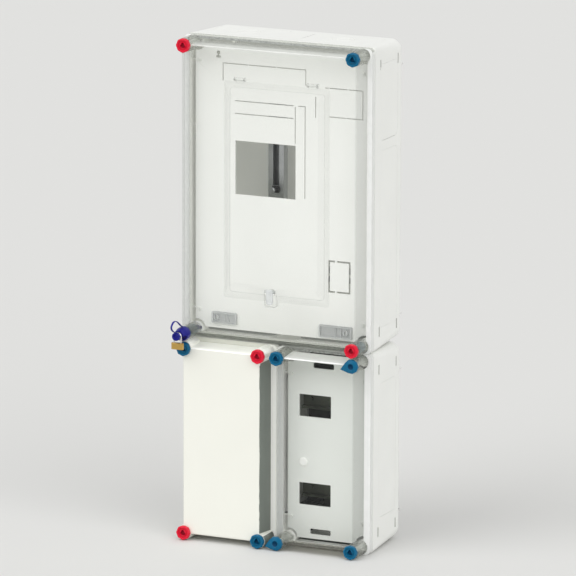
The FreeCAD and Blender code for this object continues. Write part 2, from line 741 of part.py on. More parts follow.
def round_lock(x, z):
    body = joined(lock_head(x, z), *shaft_and_wings(x, z, HEAD_BACK + 1))
    return less(body, key_socket(x, z, 3, SOCKET_R + 1.6))


def ring_lock(x, z):
    """A head with a wide round well round the key socket."""
    well = rod(x, z, HEAD_R - 4.2, HEAD_FRONT - 3.2, HEAD_FRONT + 1)
    body = joined(lock_head(x, z), *shaft_and_wings(x, z, HEAD_BACK + 1))
    return less(body, well.cut(rod(x, z, SOCKET_R + 1.4, HEAD_BACK, HEAD_FRONT + 2)),
                rod(x, z, SOCKET_R - 0.4, HEAD_FRONT - SOCKET_DEPTH, HEAD_FRONT + 1))


def pointer_lock(x, z):
    """A head drawn out to a point on its left side, with a grip rib."""
    swing = math.acos((HEAD_R - POINTER_TIP_R) / (POINTER_REACH - POINTER_TIP_R))
    tip = (x - POINTER_REACH + POINTER_TIP_R, z)

    def at(centre, radius, angle):
        return V(centre[0] + radius * math.cos(angle), -HEAD_FRONT, centre[1] + radius * math.sin(angle))

    up, down = math.pi - swing, math.pi + swing
    edges = [
        Part.Arc(at((x, z), HEAD_R, up), at((x, z), HEAD_R, 0), at((x, z), HEAD_R, down)).toShape(),
        Part.makeLine(at((x, z), HEAD_R, down), at(tip, POINTER_TIP_R, down)),
        Part.Arc(at(tip, POINTER_TIP_R, down), at(tip, POINTER_TIP_R, math.pi),
                 at(tip, POINTER_TIP_R, up)).toShape(),
        Part.makeLine(at(tip, POINTER_TIP_R, up), at((x, z), HEAD_R, up)),
    ]
    drop = Part.Face(Part.Wire(edges)).extrude(V(0, POINTER_THICKNESS, 0))
    skirt = rod(x, z, HEAD_R - 1, HEAD_BACK, HEAD_FRONT - 2)
    rib = block(x - POINTER_REACH + 5, x + HEAD_R - 4, HEAD_FRONT - 1, HEAD_FRONT + 1.6, z - 1.3, z + 1.3)
    return joined(drop, skirt, rib, *shaft_and_wings(x, z, HEAD_BACK + 1))


def lock_sleeve(x, z):
    """A guide sleeve round the lock shaft, inside a tower of the cover."""
    far = COVER_FRONT - COVER_WALL
    sleeve = rod(x, z, SLEEVE_R, far - SLEEVE_LENGTH, far)
    return less(sleeve, rod(x, z, SHAFT_R + SHAFT_CLEAR, far - SLEEVE_LENGTH - 1, far + 1))


HOOD_FRONT = HEAD_BACK + HOOD_LENGTH
DISC_BACK = HOOD_FRONT + NECK_GAP
DISC_FRONT = DISC_BACK + DISC_HEIGHT
SHACKLE_DEPTH = HOOD_FRONT + NECK_GAP / 2
HOOD_LOCK = UPPER.corners(TOWER_INSET_X, TOWER_INSET_Z)["bottom_left"]


def hooded_lock(x, z):
    """A lock whose hood, neck and front disc take a padlock."""
    hood = turned(x, z, [
        (0, HEAD_BACK), (HOOD_R, HEAD_BACK), (HOOD_R, HEAD_BACK + 9.0),
        (HOOD_FRONT_R, HOOD_FRONT), (0, HOOD_FRONT)])
    inner_r = HOOD_R - HOOD_WALL
    hollow = turned(x, z, [
        (NECK_R, HEAD_BACK + 6.0), (inner_r, HEAD_BACK + 6.0), (inner_r, HEAD_BACK + 8.6),
        (HOOD_FRONT_R - HOOD_WALL, HOOD_FRONT + 0.01), (NECK_R, HOOD_FRONT + 0.01)])
    mouth = block(x - HOOD_R, x + HOOD_R, HEAD_BACK + 11.0, HOOD_FRONT + 1, z - HOOD_R - 1, z - 1.0)
    mouth = mouth.cut(rod(x, z, NECK_R, HEAD_BACK, DISC_FRONT))
    neck = rod(x, z, NECK_R, HEAD_BACK + 5, DISC_BACK + 1)
    disc = turned(x, z, [
        (0, DISC_BACK), (DISC_R, DISC_BACK), (DISC_R, DISC_FRONT - 1.0), (DISC_R - 1.0, DISC_FRONT),
        (DISC_DISH_R, DISC_FRONT), (DISC_DISH_R - 1.4, DISC_FRONT - DISC_DISH),
        (0, DISC_FRONT - DISC_DISH)])
    return joined(less(hood, hollow, mouth), neck, disc, *shaft_and_wings(x, z, HEAD_BACK + 1))


def sealing_strap(x, z):
    """A strap loop from the top of the hood, round the front, to the rim of the disc."""
    top = HEAD_BACK + 7.0
    route = [
        (top, HOOD_R + STRAP_THICKNESS / 2), (top + 13, HOOD_R + 8), (DISC_BACK + 2, HOOD_R + 14.5),
        (DISC_BACK + 14, HOOD_R + 15), (DISC_BACK + 22, HOOD_R + 7), (DISC_FRONT + 8, DISC_R + 3.5),
        (DISC_FRONT - DISC_HEIGHT / 2, DISC_R + STRAP_THICKNESS / 2)]
    curve = Part.BSplineCurve()
    curve.interpolate([V(x, -depth, z + height) for depth, height in route])
    path = Part.Wire([curve.toShape()])
    start, ahead = curve.value(curve.FirstParameter), curve.tangent(curve.FirstParameter)[0]
    across = V(1, 0, 0)
    normal = ahead.cross(across).normalize()
    half_w, half_t = STRAP_WIDTH / 2, STRAP_THICKNESS / 2
    ring = [start + across * (sx * half_w) + normal * (sn * half_t)
            for sx, sn in ((-1, -1), (1, -1), (1, 1), (-1, 1))]
    section = Part.makePolygon(ring + ring[:1])
    return path.makePipeShell([section], True, False)


def padlock_shackle(x, z):
    """A bent rod over the neck: a half ring and two legs, one long and one short."""
    ring_r = SHACKLE_INNER_R + SHACKLE_WIRE_R
    centre_z = z + NECK_R + SHACKLE_REST_GAP - SHACKLE_INNER_R
    body_top = z - PADLOCK_DROP
    y = -SHACKLE_DEPTH
    ring = Part.makeTorus(ring_r, SHACKLE_WIRE_R, V(x, y, centre_z), V(0, 1, 0))
    keep_top = Part.makeBox(40, 20, 20, V(x - 20, y - 10, centre_z))
    legs = []
    for side, depth in ((1, LONG_LEG), (-1, SHORT_LEG)):
        foot = V(x + side * ring_r, y, body_top - depth)
        legs.append(Part.makeCylinder(SHACKLE_WIRE_R, centre_z - foot.z, foot))
    return joined(ring.common(keep_top), *legs)


def padlock_body(x, z):
    ring_r = SHACKLE_INNER_R + SHACKLE_WIRE_R
    top = z - PADLOCK_DROP
    bottom = top - PADLOCK_HEIGHT
    near = SHACKLE_DEPTH - PADLOCK_THICKNESS / 2
    far = SHACKLE_DEPTH + PADLOCK_THICKNESS / 2
    body = block(x - PADLOCK_WIDTH / 2, x + PADLOCK_WIDTH / 2, near, far, bottom, top)
    upright = [edge for edge in body.Edges if abs(edge.Length - PADLOCK_HEIGHT) < 0.01]
    body = body.makeFillet(PADLOCK_CORNER_R, upright)
    bores = []
    for side, depth in ((1, LONG_LEG), (-1, SHORT_LEG)):
        foot = V(x + side * ring_r, -SHACKLE_DEPTH, top - depth - LEG_END_GAP)
        bores.append(Part.makeCylinder(SHACKLE_WIRE_R + LEG_CLEAR, depth + LEG_END_GAP, foot))
    keyway = Part.makeCylinder(KEYWAY_R, 2.0, V(x - 4, -SHACKLE_DEPTH, bottom - 0.01))
    return less(body, *bores, keyway)


def plate_with_notches(area, inset_x, inset_z):
    """A front plate cut away at its corners, where the lock posts stand."""
    flat = area.inset(inset_x, inset_z)
    plate = slab(flat, 0, PLATE_BACK, PLATE_FRONT)
    notches = [rod(x, z, PLATE_NOTCH, PLATE_BACK - 1, PLATE_FRONT + 1)
               for x, z in area.corners(TOWER_INSET_X, TOWER_INSET_Z).values()]
    return less(plate, *notches)


def cut_line(x0, z0, x1, z1, gaps=()):
    """Thin slots through the plate along a line, with uncut bridges at the fractions in gaps."""
    length = math.hypot(x1 - x0, z1 - z0)
    bridge = SLOT_BRIDGE / 2 / length
    marks = [0.0] + [mark for gap in gaps for mark in (gap - bridge, gap + bridge)] + [1.0]
    half = SLOT_WIDTH / 2
    slots = []
    for start, end in zip(marks[::2], marks[1::2]):
        xs = sorted((x0 + (x1 - x0) * start, x0 + (x1 - x0) * end))
        zs = sorted((z0 + (z1 - z0) * start, z0 + (z1 - z0) * end))
        slots.append(block(xs[0] - half, xs[1] + half, PLATE_BACK - 1, PLATE_FRONT + 1,
                           zs[0] - half, zs[1] + half))
    return slots


def bracket_slots():
    """The pre-cut outlines on the meter plate that can be broken out for other meters."""
    top, step, low = 400.5, 335.5, 313.0
    slots = cut_line(-112, top, 47, top, (0.31, 0.65))
    slots += cut_line(-112, top, -112, 370) + cut_line(47, top, 47, 374)
    slots += cut_line(-88, step, 23, step) + cut_line(-88, low, 23, low)
    slots += cut_line(27, 333, 27, 268.5) + cut_line(33.5, step, 46, step)
    slots += cut_line(46, step, 46, 173.5)
    slots += cut_line(66, 354, 66, 318.5)
    slots += cut_line(85, 372, 156, 372, (0.1, 0.6)) + cut_line(156, 372, 156, 321.5)
    slots += cut_line(93, 321.5, 156, 321.5, (0.5,))
    return slots


def breakout_slots():
    """A small break-out panel low on the right, with wider slots."""
    x0, x1, z0, z1, width = 93.5, 132.0, 12.5, 66.0, 4.2
    outer = Area(x0 - width / 2, x1 + width / 2, z0 - width / 2, z1 + width / 2)
    frame = slab(outer, 1.0, PLATE_BACK - 1, PLATE_FRONT + 1).cut(
        slab(outer.inset(width * 0.8), 0, PLATE_BACK - 2, PLATE_FRONT + 2))
    bridge_x = x0 + (x1 - x0) * 0.33
    bridge = block(bridge_x - SLOT_BRIDGE / 2, bridge_x + SLOT_BRIDGE / 2, PLATE_BACK - 3, PLATE_FRONT + 3,
                   z0 - 10, z1 + 10)
    return [frame.cut(bridge)]


def keyhole(x, z):
    """A hanging slot: a round hole with a wider foot below it."""
    foot = block(x - 4.5, x + 4.5, PLATE_BACK - 1, PLATE_FRONT + 1, z - 9, z - 5)
    stem = block(x - 1.8, x + 1.8, PLATE_BACK - 1, PLATE_FRONT + 1, z - 6, z)
    return [rod(x, z, 3.6, PLATE_BACK - 1, PLATE_FRONT + 1), foot, stem]


def meter_plate():
    x0, x1, z0, z1 = METER_WINDOW
    window = slab(Area(x0, x1, z0, z1), 0, PLATE_BACK - 1, PLATE_FRONT + 1)
    holes = [rod(x, z, SCREW_R + 0.3, PLATE_BACK - 1, PLATE_FRONT + 1) for x, z in UPPER_PLATE_SCREWS]
    return less(plate_with_notches(UPPER, PLATE_INSET_X, PLATE_INSET_Z),
                window, *holes, *bracket_slots(), *breakout_slots(), *keyhole(*KEYHOLE))


def plate_screw(x, z, seat):
    """A pan-head screw standing in a pillar, its head on what it clamps."""
    top = seat + SCREW_HEAD
    head = turned(x, z, [(0, seat), (SCREW_HEAD_R, seat), (SCREW_HEAD_R - 0.8, top), (0, top)])
    slot = block(x - SCREW_HEAD_R, x + SCREW_HEAD_R, top - 0.9, top + 1, z - 0.5, z + 0.5)
    return joined(head, rod(x, z, SCREW_R - 0.1, seat - SCREW_LENGTH, seat + 0.5)).cut(slot)


def plate_clip(area_values, slot_side):
    """A clear catch block on the plate, with a keyed slot and a thumb rib."""
    area = Area(*area_values)
    near, far = PLATE_FRONT + CLIP_SEAT, PLATE_FRONT + CLIP_THICKNESS
    body = slab(area, 2.0, near, far)
    pocket = slab(area.inset(3.0), 1.0, near + 1.6, far + 1)
    slot_x = area.x0 + 9 if slot_side < 0 else area.x1 - 12
    z_mid = (area.z0 + area.z1) / 2
    island = rod(slot_x, z_mid, 5.2, near, far)
    slot = block(slot_x - 1.8, slot_x + 1.8, near - 1, far + 1, z_mid - 3.6, z_mid + 3.6)
    ribs = [block(x, x + 1.4, near, far - 0.6, area.z0 + 1, area.z1 - 1)
            for x in (area.x0 + (area.x1 - area.x0) * 0.5, area.x0 + (area.x1 - area.x0) * 0.66)]
    return joined(body.cut(pocket), island, *ribs).cut(slot)


def cross_bar(level):
    """A flat steel bar with turned-back edges and a row of slots."""
    reach = HALF_WIDTH - BAR_INSET
    half = BAR_WIDTH / 2
    body = block(-reach, reach, BAR_SEAT, BAR_SEAT + BAR_THICKNESS, level - half, level + half)
    front = BAR_SEAT + BAR_THICKNESS
    lips = [block(-reach + BAR_WIDTH, reach - BAR_WIDTH, BAR_SEAT - 5, front, z, z + BAR_THICKNESS)
            for z in (level - half, level + half - BAR_THICKNESS)]
    pitch = 40.0
    count = 5
    slots = [slab(Area(x - 12, x + 12, level - 3.2, level + 3.2), 3.1, BAR_SEAT - 1, front + 1)
             for x in (pitch * (i - (count - 1) / 2) for i in range(count))]
    holes = [rod(x, z, SCREW_R + 0.3, BAR_SEAT - 1, BAR_SEAT + 5) for x, z in BAR_PLACES if z == level]
    return less(joined(body, *lips), *slots, *holes)


BAR_FRONT = BAR_SEAT + BAR_THICKNESS
RAIL_FRONT = BAR_FRONT + RAIL_DEPTH


def meter_rail():
    """An upright channel with a front slot, on which the meter hook slides."""
    half = RAIL_WIDTH / 2
    body = block(RAIL_X - half, RAIL_X + half, BAR_FRONT, RAIL_FRONT, RAIL_BOTTOM, RAIL_TOP)
    hollow = block(RAIL_X - half + RAIL_WALL, RAIL_X + half - RAIL_WALL, BAR_FRONT + RAIL_WALL,
                   RAIL_FRONT - RAIL_WALL, RAIL_BOTTOM - 1, RAIL_TOP + 1)
    slot = block(RAIL_X - RAIL_SLOT / 2, RAIL_X + RAIL_SLOT / 2, BAR_FRONT + RAIL_WALL,
                 RAIL_FRONT + 1, HOOK_Z + HOOK_NUT / 2, RAIL_TOP - 12)
    holes = [rod(RAIL_X, level, SCREW_R + 0.3, BAR_FRONT - 1, BAR_FRONT + RAIL_WALL + 1)
             for level in BAR_HEIGHTS]
    hook_hole = rod(RAIL_X, HOOK_Z, HOOK_STEM_R + 0.2, RAIL_FRONT - RAIL_WALL - 1, RAIL_FRONT + 1)
    return less(body, hollow, slot, hook_hole, *holes)


def meter_hook():
    """The hook screw that carries the top of the meter, with its dark square nut."""
    nut_front = RAIL_FRONT + 3.0
    tip = nut_front + HOOK_REACH
    stem = rod(RAIL_X, HOOK_Z, HOOK_STEM_R, RAIL_FRONT - RAIL_WALL - 2, tip)
    head = turned(RAIL_X, HOOK_Z, [
        (0, tip), (HOOK_R, tip), (HOOK_R, tip + 1.2), (HOOK_R - 2, tip + 3), (0, tip + 3)])
    half = HOOK_NUT / 2
    square = Area(RAIL_X - half, RAIL_X + half, HOOK_Z - half, HOOK_Z + half - 0.5)
    nut = slab(square, 1.5, RAIL_FRONT, nut_front)
    return joined(stem, head), nut.cut(rod(RAIL_X, HOOK_Z, HOOK_STEM_R, RAIL_FRONT - 1, nut_front + 1))


def device_plate():
    """The plate in front of the switchgear, with two windows and two break-out slots."""
    cuts = []
    for level in WINDOW_HEIGHTS:
        window = Area(WINDOW_X - WINDOW_WIDTH / 2, WINDOW_X + WINDOW_WIDTH / 2,
                      level - WINDOW_HEIGHT / 2, level + WINDOW_HEIGHT / 2)
        cuts.append(slab(window, 1.5, PLATE_BACK - 1, PLATE_FRONT + 1))
    width, height = DEVICE_SLOT
    for x, z in DEVICE_SLOTS:
        slot = Area(x - width / 2, x + width / 2, z - height / 2, z + height / 2)
        cuts.append(slab(slot, 2.5, PLATE_BACK - 1, PLATE_FRONT + 1))
    cuts += [rod(x, z, SCREW_R + 0.3, PLATE_BACK - 1, PLATE_FRONT + 1) for x, z in RIGHT_PLATE_SCREWS]
    cuts.append(rod(*PLUG_PLACE, PLUG_STEM_R + 0.1, PLATE_BACK - 1, PLATE_FRONT + 1))
    return less(plate_with_notches(RIGHT, DEVICE_INSET_X, DEVICE_INSET_Z), *cuts)


def device_plug():
    """A push-in plug with a domed head."""
    x, z = PLUG_PLACE
    head = turned(x, z, [(0, PLATE_FRONT), (PLUG_R, PLATE_FRONT), (PLUG_R - 0.5, PLATE_FRONT + 1.4),
                         (PLUG_R - 2.5, PLATE_FRONT + PLUG_HEAD), (0, PLATE_FRONT + PLUG_HEAD)])
    return joined(head, rod(x, z, PLUG_STEM_R, PLATE_FRONT - PLUG_STEM, PLATE_FRONT + 0.5))


def tophat_rail(level):
    """A top-hat rail 35 wide, folded from sheet, on two seats."""
    x0, x1 = RIGHT.x0 + TOPHAT_INSET, RIGHT.x1 - TOPHAT_INSET
    web, wide, deep, metal = TOPHAT_WEB / 2, TOPHAT_HEIGHT / 2, TOPHAT_DEPTH, TOPHAT_METAL
    near = TOPHAT_SEAT
    profile = [
        (near, -web), (near, web), (near + deep - metal, web), (near + deep - metal, wide),
        (near + deep, wide), (near + deep, web - metal), (near + metal, web - metal),
        (near + metal, metal - web), (near + deep, metal - web), (near + deep, -wide),
        (near + deep - metal, -wide), (near + deep - metal, -web)]
    points = [V(x0, -depth, level + height) for depth, height in profile]
    body = Part.Face(Part.makePolygon(points + points[:1])).extrude(V(x1 - x0, 0, 0))
    holes = [rod(x, z, SCREW_R + 0.3, near - 1, near + 3) for x, z in TOPHAT_PLACES if z == level]
    return less(body, *holes)


def mounting_board():
    """The steel board in the lower left box, with rows of fixing slots."""
    area = LEFT.inset(BOARD_INSET)
    board = slab(area, 6.0, BOARD_SEAT, BOARD_SEAT + BOARD_THICKNESS)
    x_mid, z_mid = LEFT.centre
    width, height = BOARD_SLOT
    cuts = [rod(x, z, SCREW_R + 0.3, BOARD_SEAT - 1, BOARD_SEAT + 5) for x, z in BOARD_PLACES]
    for column in (-1, 0, 1):
        for row in (-1, 0, 1):
            x, z = x_mid + column * 34.0, z_mid + row * 62.0
            slot = Area(x - width / 2, x + width / 2, z - height / 2, z + height / 2)
            cuts.append(slab(slot, width / 2 - 0.1, BOARD_SEAT - 1, BOARD_SEAT + BOARD_THICKNESS + 1))
    return less(board, *cuts)


def build_boxes():
    bar_seats = [(x, z, BAR_BOSS_R, BAR_SEAT) for x, z in BAR_PLACES]
    rail_seats = [(x, z, PILLAR_R, TOPHAT_SEAT) for x, z in TOPHAT_PLACES]
    board_seats = [(x, z, BOARD_BOSS_R, BOARD_SEAT) for x, z in BOARD_PLACES]
    keep("upper_base", base_box(UPPER, UPPER_PLATE_SCREWS, bar_seats))
    keep("lower_left_base", base_box(LEFT, [], board_seats))
    keep("lower_right_base", base_box(RIGHT, RIGHT_PLATE_SCREWS, rail_seats))
    for name, area in (("upper", UPPER), ("lower_left", LEFT), ("lower_right", RIGHT)):
        keep(name + "_seal", seal(area))
    for name, ports in BLANK_PORTS.items():
        keep(name, *[blanking_plate(port, name.startswith("entry")) for port in ports])
    for name, ports in FRAME_PORTS.items():
        keep(name, *[joining_frame(port) for port in ports])


def build_inside():
    keep("meter_plate", meter_plate())
    keep("meter_plate_screws", *[plate_screw(x, z, PLATE_FRONT) for x, z in UPPER_PLATE_SCREWS])
    keep("plate_clip_left", plate_clip(LEFT_CLIP, -1))
    keep("plate_clip_right", plate_clip(RIGHT_CLIP, 1))
    keep("cross_bars", *[cross_bar(level) for level in BAR_HEIGHTS])
    keep("cross_bar_screws", *[plate_screw(x, z, BAR_FRONT) for x, z in BAR_PLACES])
    keep("meter_rail", meter_rail())
    keep("meter_rail_screws", *[plate_screw(RAIL_X, level, BAR_FRONT + RAIL_WALL) for level in BAR_HEIGHTS])
    hook, nut = meter_hook()
    keep("meter_hook", hook)
    keep("meter_hook_nut", nut)
    keep("device_plate", device_plate())
    keep("device_plate_screws", *[plate_screw(x, z, PLATE_FRONT) for x, z in RIGHT_PLATE_SCREWS])
    keep("device_plug", device_plug())
    for name, level in zip(("device_rail_top", "device_rail_bottom"), WINDOW_HEIGHTS):
        keep(name, tophat_rail(level))
    keep("device_rail_screws", *[plate_screw(x, z, TOPHAT_SEAT + TOPHAT_METAL) for x, z in TOPHAT_PLACES])
    keep("mounting_board", mounting_board())
    keep("mounting_board_screws", *[plate_screw(x, z, BOARD_SEAT + BOARD_THICKNESS) for x, z in BOARD_PLACES])


LOCK_FORMS = {
    ("lower_left", "bottom_right"): ring_lock,
    ("lower_right", "top_right"): pointer_lock,
    ("lower_right", "bottom_left"): pointer_lock,
    ("upper", "bottom_left"): hooded_lock,
}


def build_covers():
    keep("upper_cover", upper_cover())
    keep("lower_left_cover", cover(LEFT))
    keep("lower_right_cover", cover(RIGHT))
    for box, area in (("upper", UPPER), ("lower_left", LEFT), ("lower_right", RIGHT)):
        for corner, (x, z) in area.corners(TOWER_INSET_X, TOWER_INSET_Z).items():
            form = LOCK_FORMS.get((box, corner), round_lock)
            keep(f"lock_{box}_{corner}", form(x, z))
    sleeved = [place for name, place in UPPER.corners(TOWER_INSET_X, TOWER_INSET_Z).items()
               if name.startswith("bottom")]
    keep("lock_sleeves", *[lock_sleeve(x, z) for x, z in sleeved])
    keep("sealing_strap", sealing_strap(*HOOD_LOCK))
    keep("padlock_shackle", padlock_shackle(*HOOD_LOCK))
    keep("padlock_body", padlock_body(*HOOD_LOCK))
    keep("window_flap", window_flap())
    keep("flap_hinge_pins", *hinge_pins())
    keep("flap_latch", flap_latch())


build_boxes()
build_inside()
build_covers()
os.makedirs("parts", exist_ok=True)
for node, shape in NODES.items():
    shape.exportStep(f"parts/{node}.step")
    box = shape.BoundBox
    print(f"{node:28s} solids {len(shape.Solids)} valid {shape.isValid()} volume {shape.Volume:.0f}"
          f" x {box.XMin:.1f} {box.XMax:.1f} y {box.YMin:.1f} {box.YMax:.1f} z {box.ZMin:.1f} {box.ZMax:.1f}")
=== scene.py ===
"""Dresses the electric meter cabinet: plastics, lids, modelled lock heads, the padlock and the studio."""

import json
import logging
import math
from dataclasses import dataclass, field
from enum import Enum
from typing import Callable, Optional, Sequence

import bmesh
import bpy
import numpy as np
from mathutils import Matrix, Vector

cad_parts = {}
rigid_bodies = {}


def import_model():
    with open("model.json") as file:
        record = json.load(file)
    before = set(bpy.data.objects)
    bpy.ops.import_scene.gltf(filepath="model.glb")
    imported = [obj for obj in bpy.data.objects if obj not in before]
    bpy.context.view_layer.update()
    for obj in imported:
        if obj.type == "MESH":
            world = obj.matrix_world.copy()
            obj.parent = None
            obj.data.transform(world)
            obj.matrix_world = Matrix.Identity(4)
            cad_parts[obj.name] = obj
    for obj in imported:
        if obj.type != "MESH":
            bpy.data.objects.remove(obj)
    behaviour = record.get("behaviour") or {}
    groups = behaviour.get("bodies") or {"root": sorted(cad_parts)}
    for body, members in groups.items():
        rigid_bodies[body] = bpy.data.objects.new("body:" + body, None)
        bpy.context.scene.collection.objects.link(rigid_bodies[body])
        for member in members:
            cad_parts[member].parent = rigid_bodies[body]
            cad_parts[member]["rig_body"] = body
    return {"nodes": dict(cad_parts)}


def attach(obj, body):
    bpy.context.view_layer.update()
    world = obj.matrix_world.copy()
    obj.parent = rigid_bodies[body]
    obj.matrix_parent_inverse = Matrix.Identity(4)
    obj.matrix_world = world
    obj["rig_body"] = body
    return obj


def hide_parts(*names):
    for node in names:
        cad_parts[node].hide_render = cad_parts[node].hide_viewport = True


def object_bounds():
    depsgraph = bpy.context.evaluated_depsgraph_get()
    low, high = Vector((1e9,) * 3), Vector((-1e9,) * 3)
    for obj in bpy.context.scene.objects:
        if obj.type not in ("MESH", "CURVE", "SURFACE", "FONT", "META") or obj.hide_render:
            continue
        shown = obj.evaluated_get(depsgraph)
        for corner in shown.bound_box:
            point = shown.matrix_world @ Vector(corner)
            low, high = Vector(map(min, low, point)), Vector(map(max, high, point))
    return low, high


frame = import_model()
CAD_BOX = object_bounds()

MM = 0.001
IMAGE_SIZE = 576
SENSOR_MM = 36.0
MERGE_M = 2e-6
FLAT_DEG = 0.4
BEVEL_FROM_DEG = 40.0
LOG = logging.getLogger("meter_cabinet")

Colour = tuple[float, float, float]


def srgb(red: float, green: float, blue: float) -> Colour:
    """Turns display values from 0 to 255 into linear light.

    Args:
        red, green, blue: the display values.

    Returns:
        The linear colour.
    """
    def linear(value: float) -> float:
        """The display curve, undone."""
        v = value / 255
        return v / 12.92 if v <= 0.04045 else ((v + 0.055) / 1.055) ** 2.4
    return linear(red), linear(green), linear(blue)


class Graph:
    """A material's node tree with short calls for adding and joining nodes."""

    def __init__(self, name: str) -> None:
        """Starts an empty tree for a new material of this name."""
        self.material = bpy.data.materials.new(name)
        self.material.use_nodes = True
        self.tree = self.material.node_tree
        self.tree.nodes.clear()
        self.output = self.tree.nodes.new("ShaderNodeOutputMaterial")

    def add(self, kind: str, settings: Optional[dict] = None, **inputs: object) -> bpy.types.Node:
        """Adds a node.

        Args:
            kind: the node's type name without its prefix, such as "TexNoise".
            settings: the node's own properties.
            inputs: values or sockets for its inputs, with underscores for spaces.

        Returns:
            The node.
        """
        node = self.tree.nodes.new("ShaderNode" + kind)
        for key, value in (settings or {}).items():
            setattr(node, key, value)
        for key, value in inputs.items():
            self.feed(node, key.replace("_", " "), value)
        return node

    def feed(self, node: bpy.types.Node, name: str, value: object) -> None:
        """Sets or links one input of a node by name or, as "in 0", by number."""
        socket = node.inputs[int(name.split()[1])] if name.startswith("in ") else node.inputs[name]
        if isinstance(value, bpy.types.NodeSocket):
            self.tree.links.new(value, socket)
        elif isinstance(value, tuple) and len(value) == 3 and socket.type == "RGBA":
            socket.default_value = (*value, 1.0)
        else:
            socket.default_value = value

    def place(self, scale: Sequence[float] = (1.0, 1.0, 1.0)) -> bpy.types.NodeSocket:
        """The point on the piece in metres, stretched by scale."""
        coordinates = self.add("TexCoord")
        mapping = self.add("Mapping", Vector=coordinates.outputs["Object"], Scale=tuple(scale))
        return mapping.outputs["Vector"]

    def noise(self, point: bpy.types.NodeSocket, scale: float, detail: float = 2.0) -> bpy.types.NodeSocket:
        """A noise value from 0 to 1 with this many cells per metre."""
        node = self.add("TexNoise", Vector=point, Scale=scale, Detail=detail, Roughness=0.55)
        return node.outputs["Fac"]

    def math(self, operation: str, first: object, second: object = 0.0) -> bpy.types.NodeSocket:
        """The result of one sum on two values."""
        node = self.add("Math", {"operation": operation})
        self.feed(node, "in 0", first)
        self.feed(node, "in 1", second)
        return node.outputs[0]

    def stretch(self, value: object, low: float, high: float, start: float, end: float) -> bpy.types.NodeSocket:
        """Maps low..high to start..end and holds the ends."""
        node = self.add("MapRange", Value=value)
        for name, number in (("From Min", low), ("From Max", high), ("To Min", start), ("To Max", end)):
            self.feed(node, name, number)
        return node.outputs["Result"]

    def spread(self, value: bpy.types.NodeSocket, low: float, high: float) -> bpy.types.NodeSocket:
        """Stretches a value from 0.3..0.7 to low..high."""
        return self.stretch(value, 0.3, 0.7, low, high)

    def blend(self, factor: object, first: object, second: object) -> bpy.types.NodeSocket:
        """A colour mixed from two by a factor."""
        node = self.add("Mix", {"data_type": "RGBA"})
        self.feed(node, "Factor", factor)
        for name, value in (("in 6", first), ("in 7", second)):
            self.feed(node, name, value)
        return node.outputs[2]

    def relief(self, heights: Sequence[tuple[bpy.types.NodeSocket, float]]) -> bpy.types.NodeSocket:
        """A bumped normal from height values, each with its height in metres."""
        normal: object = None
        for value, distance in heights:
            node = self.add("Bump", Height=value, Distance=distance, Strength=1.0)
            if normal is not None:
                self.feed(node, "Normal", normal)
            normal = node.outputs["Normal"]
        return normal

    def finish(self, shader: bpy.types.NodeSocket) -> bpy.types.Material:
        """Ends the tree in this shader and gives the material."""
        self.tree.links.new(shader, self.output.inputs["Surface"])
        return self.material


def shade(colour: Colour, factor: float) -> Colour:
    """Makes a colour lighter or darker.

    Args:
        colour: the linear colour.
        factor: what each part of it is multiplied by.

    Returns:
        The new colour, held below white.
    """
    return tuple(min(1.0, c * factor) for c in colour)


@dataclass(frozen=True)
class MouldedPlastic:
    """An opaque moulded plastic: eroded grain, soft waves from cooling and faint flow marks.

    A glow is painted light: it stands for the daylight that soaks through thin pale walls into a closed
    box, and lightens faces that lie in shade.
    """

    name: str
    colour: Colour
    roughness: float = 0.42
    grain_per_m: float = 2600.0
    grain_height: float = 0.000012
    wave_height: float = 0.00022
    mottle: float = 0.025
    coat: float = 0.0
    gloss: float = 0.42
    glow: float = 0.0

    def build(self) -> bpy.types.Material:
        """Makes the material.

        Returns:
            The new material.
        """
        g = Graph(self.name + "_finish")
        point = g.place()
        cloud = g.noise(point, 9.0, 3.0)
        flow = g.noise(g.place((1.0, 1.0, 0.22)), 55.0, 2.0)
        grain = g.noise(point, self.grain_per_m, 2.0)
        dark, pale = shade(self.colour, 1 - self.mottle), shade(self.colour, 1 + self.mottle)
        tone = g.blend(g.spread(cloud, 0.0, 1.0), dark, pale)
        colour = g.blend(g.spread(flow, 0.0, 0.5), tone, shade(self.colour, 1 - self.mottle * 0.6))
        rough = g.spread(grain, self.roughness - 0.05, self.roughness + 0.07)
        normal = g.relief([(cloud, self.wave_height), (grain, self.grain_height)])
        body = g.add("BsdfPrincipled", Base_Color=colour, Roughness=rough, Normal=normal)
        body.inputs["Specular IOR Level"].default_value = self.gloss
        body.inputs["Coat Weight"].default_value = self.coat
        body.inputs["Coat Roughness"].default_value = 0.12
        # The glow is painted light.
        body.inputs["Emission Color"].default_value = (*self.colour, 1.0)
        body.inputs["Emission Strength"].default_value = self.glow
        return g.finish(body.outputs["BSDF"])


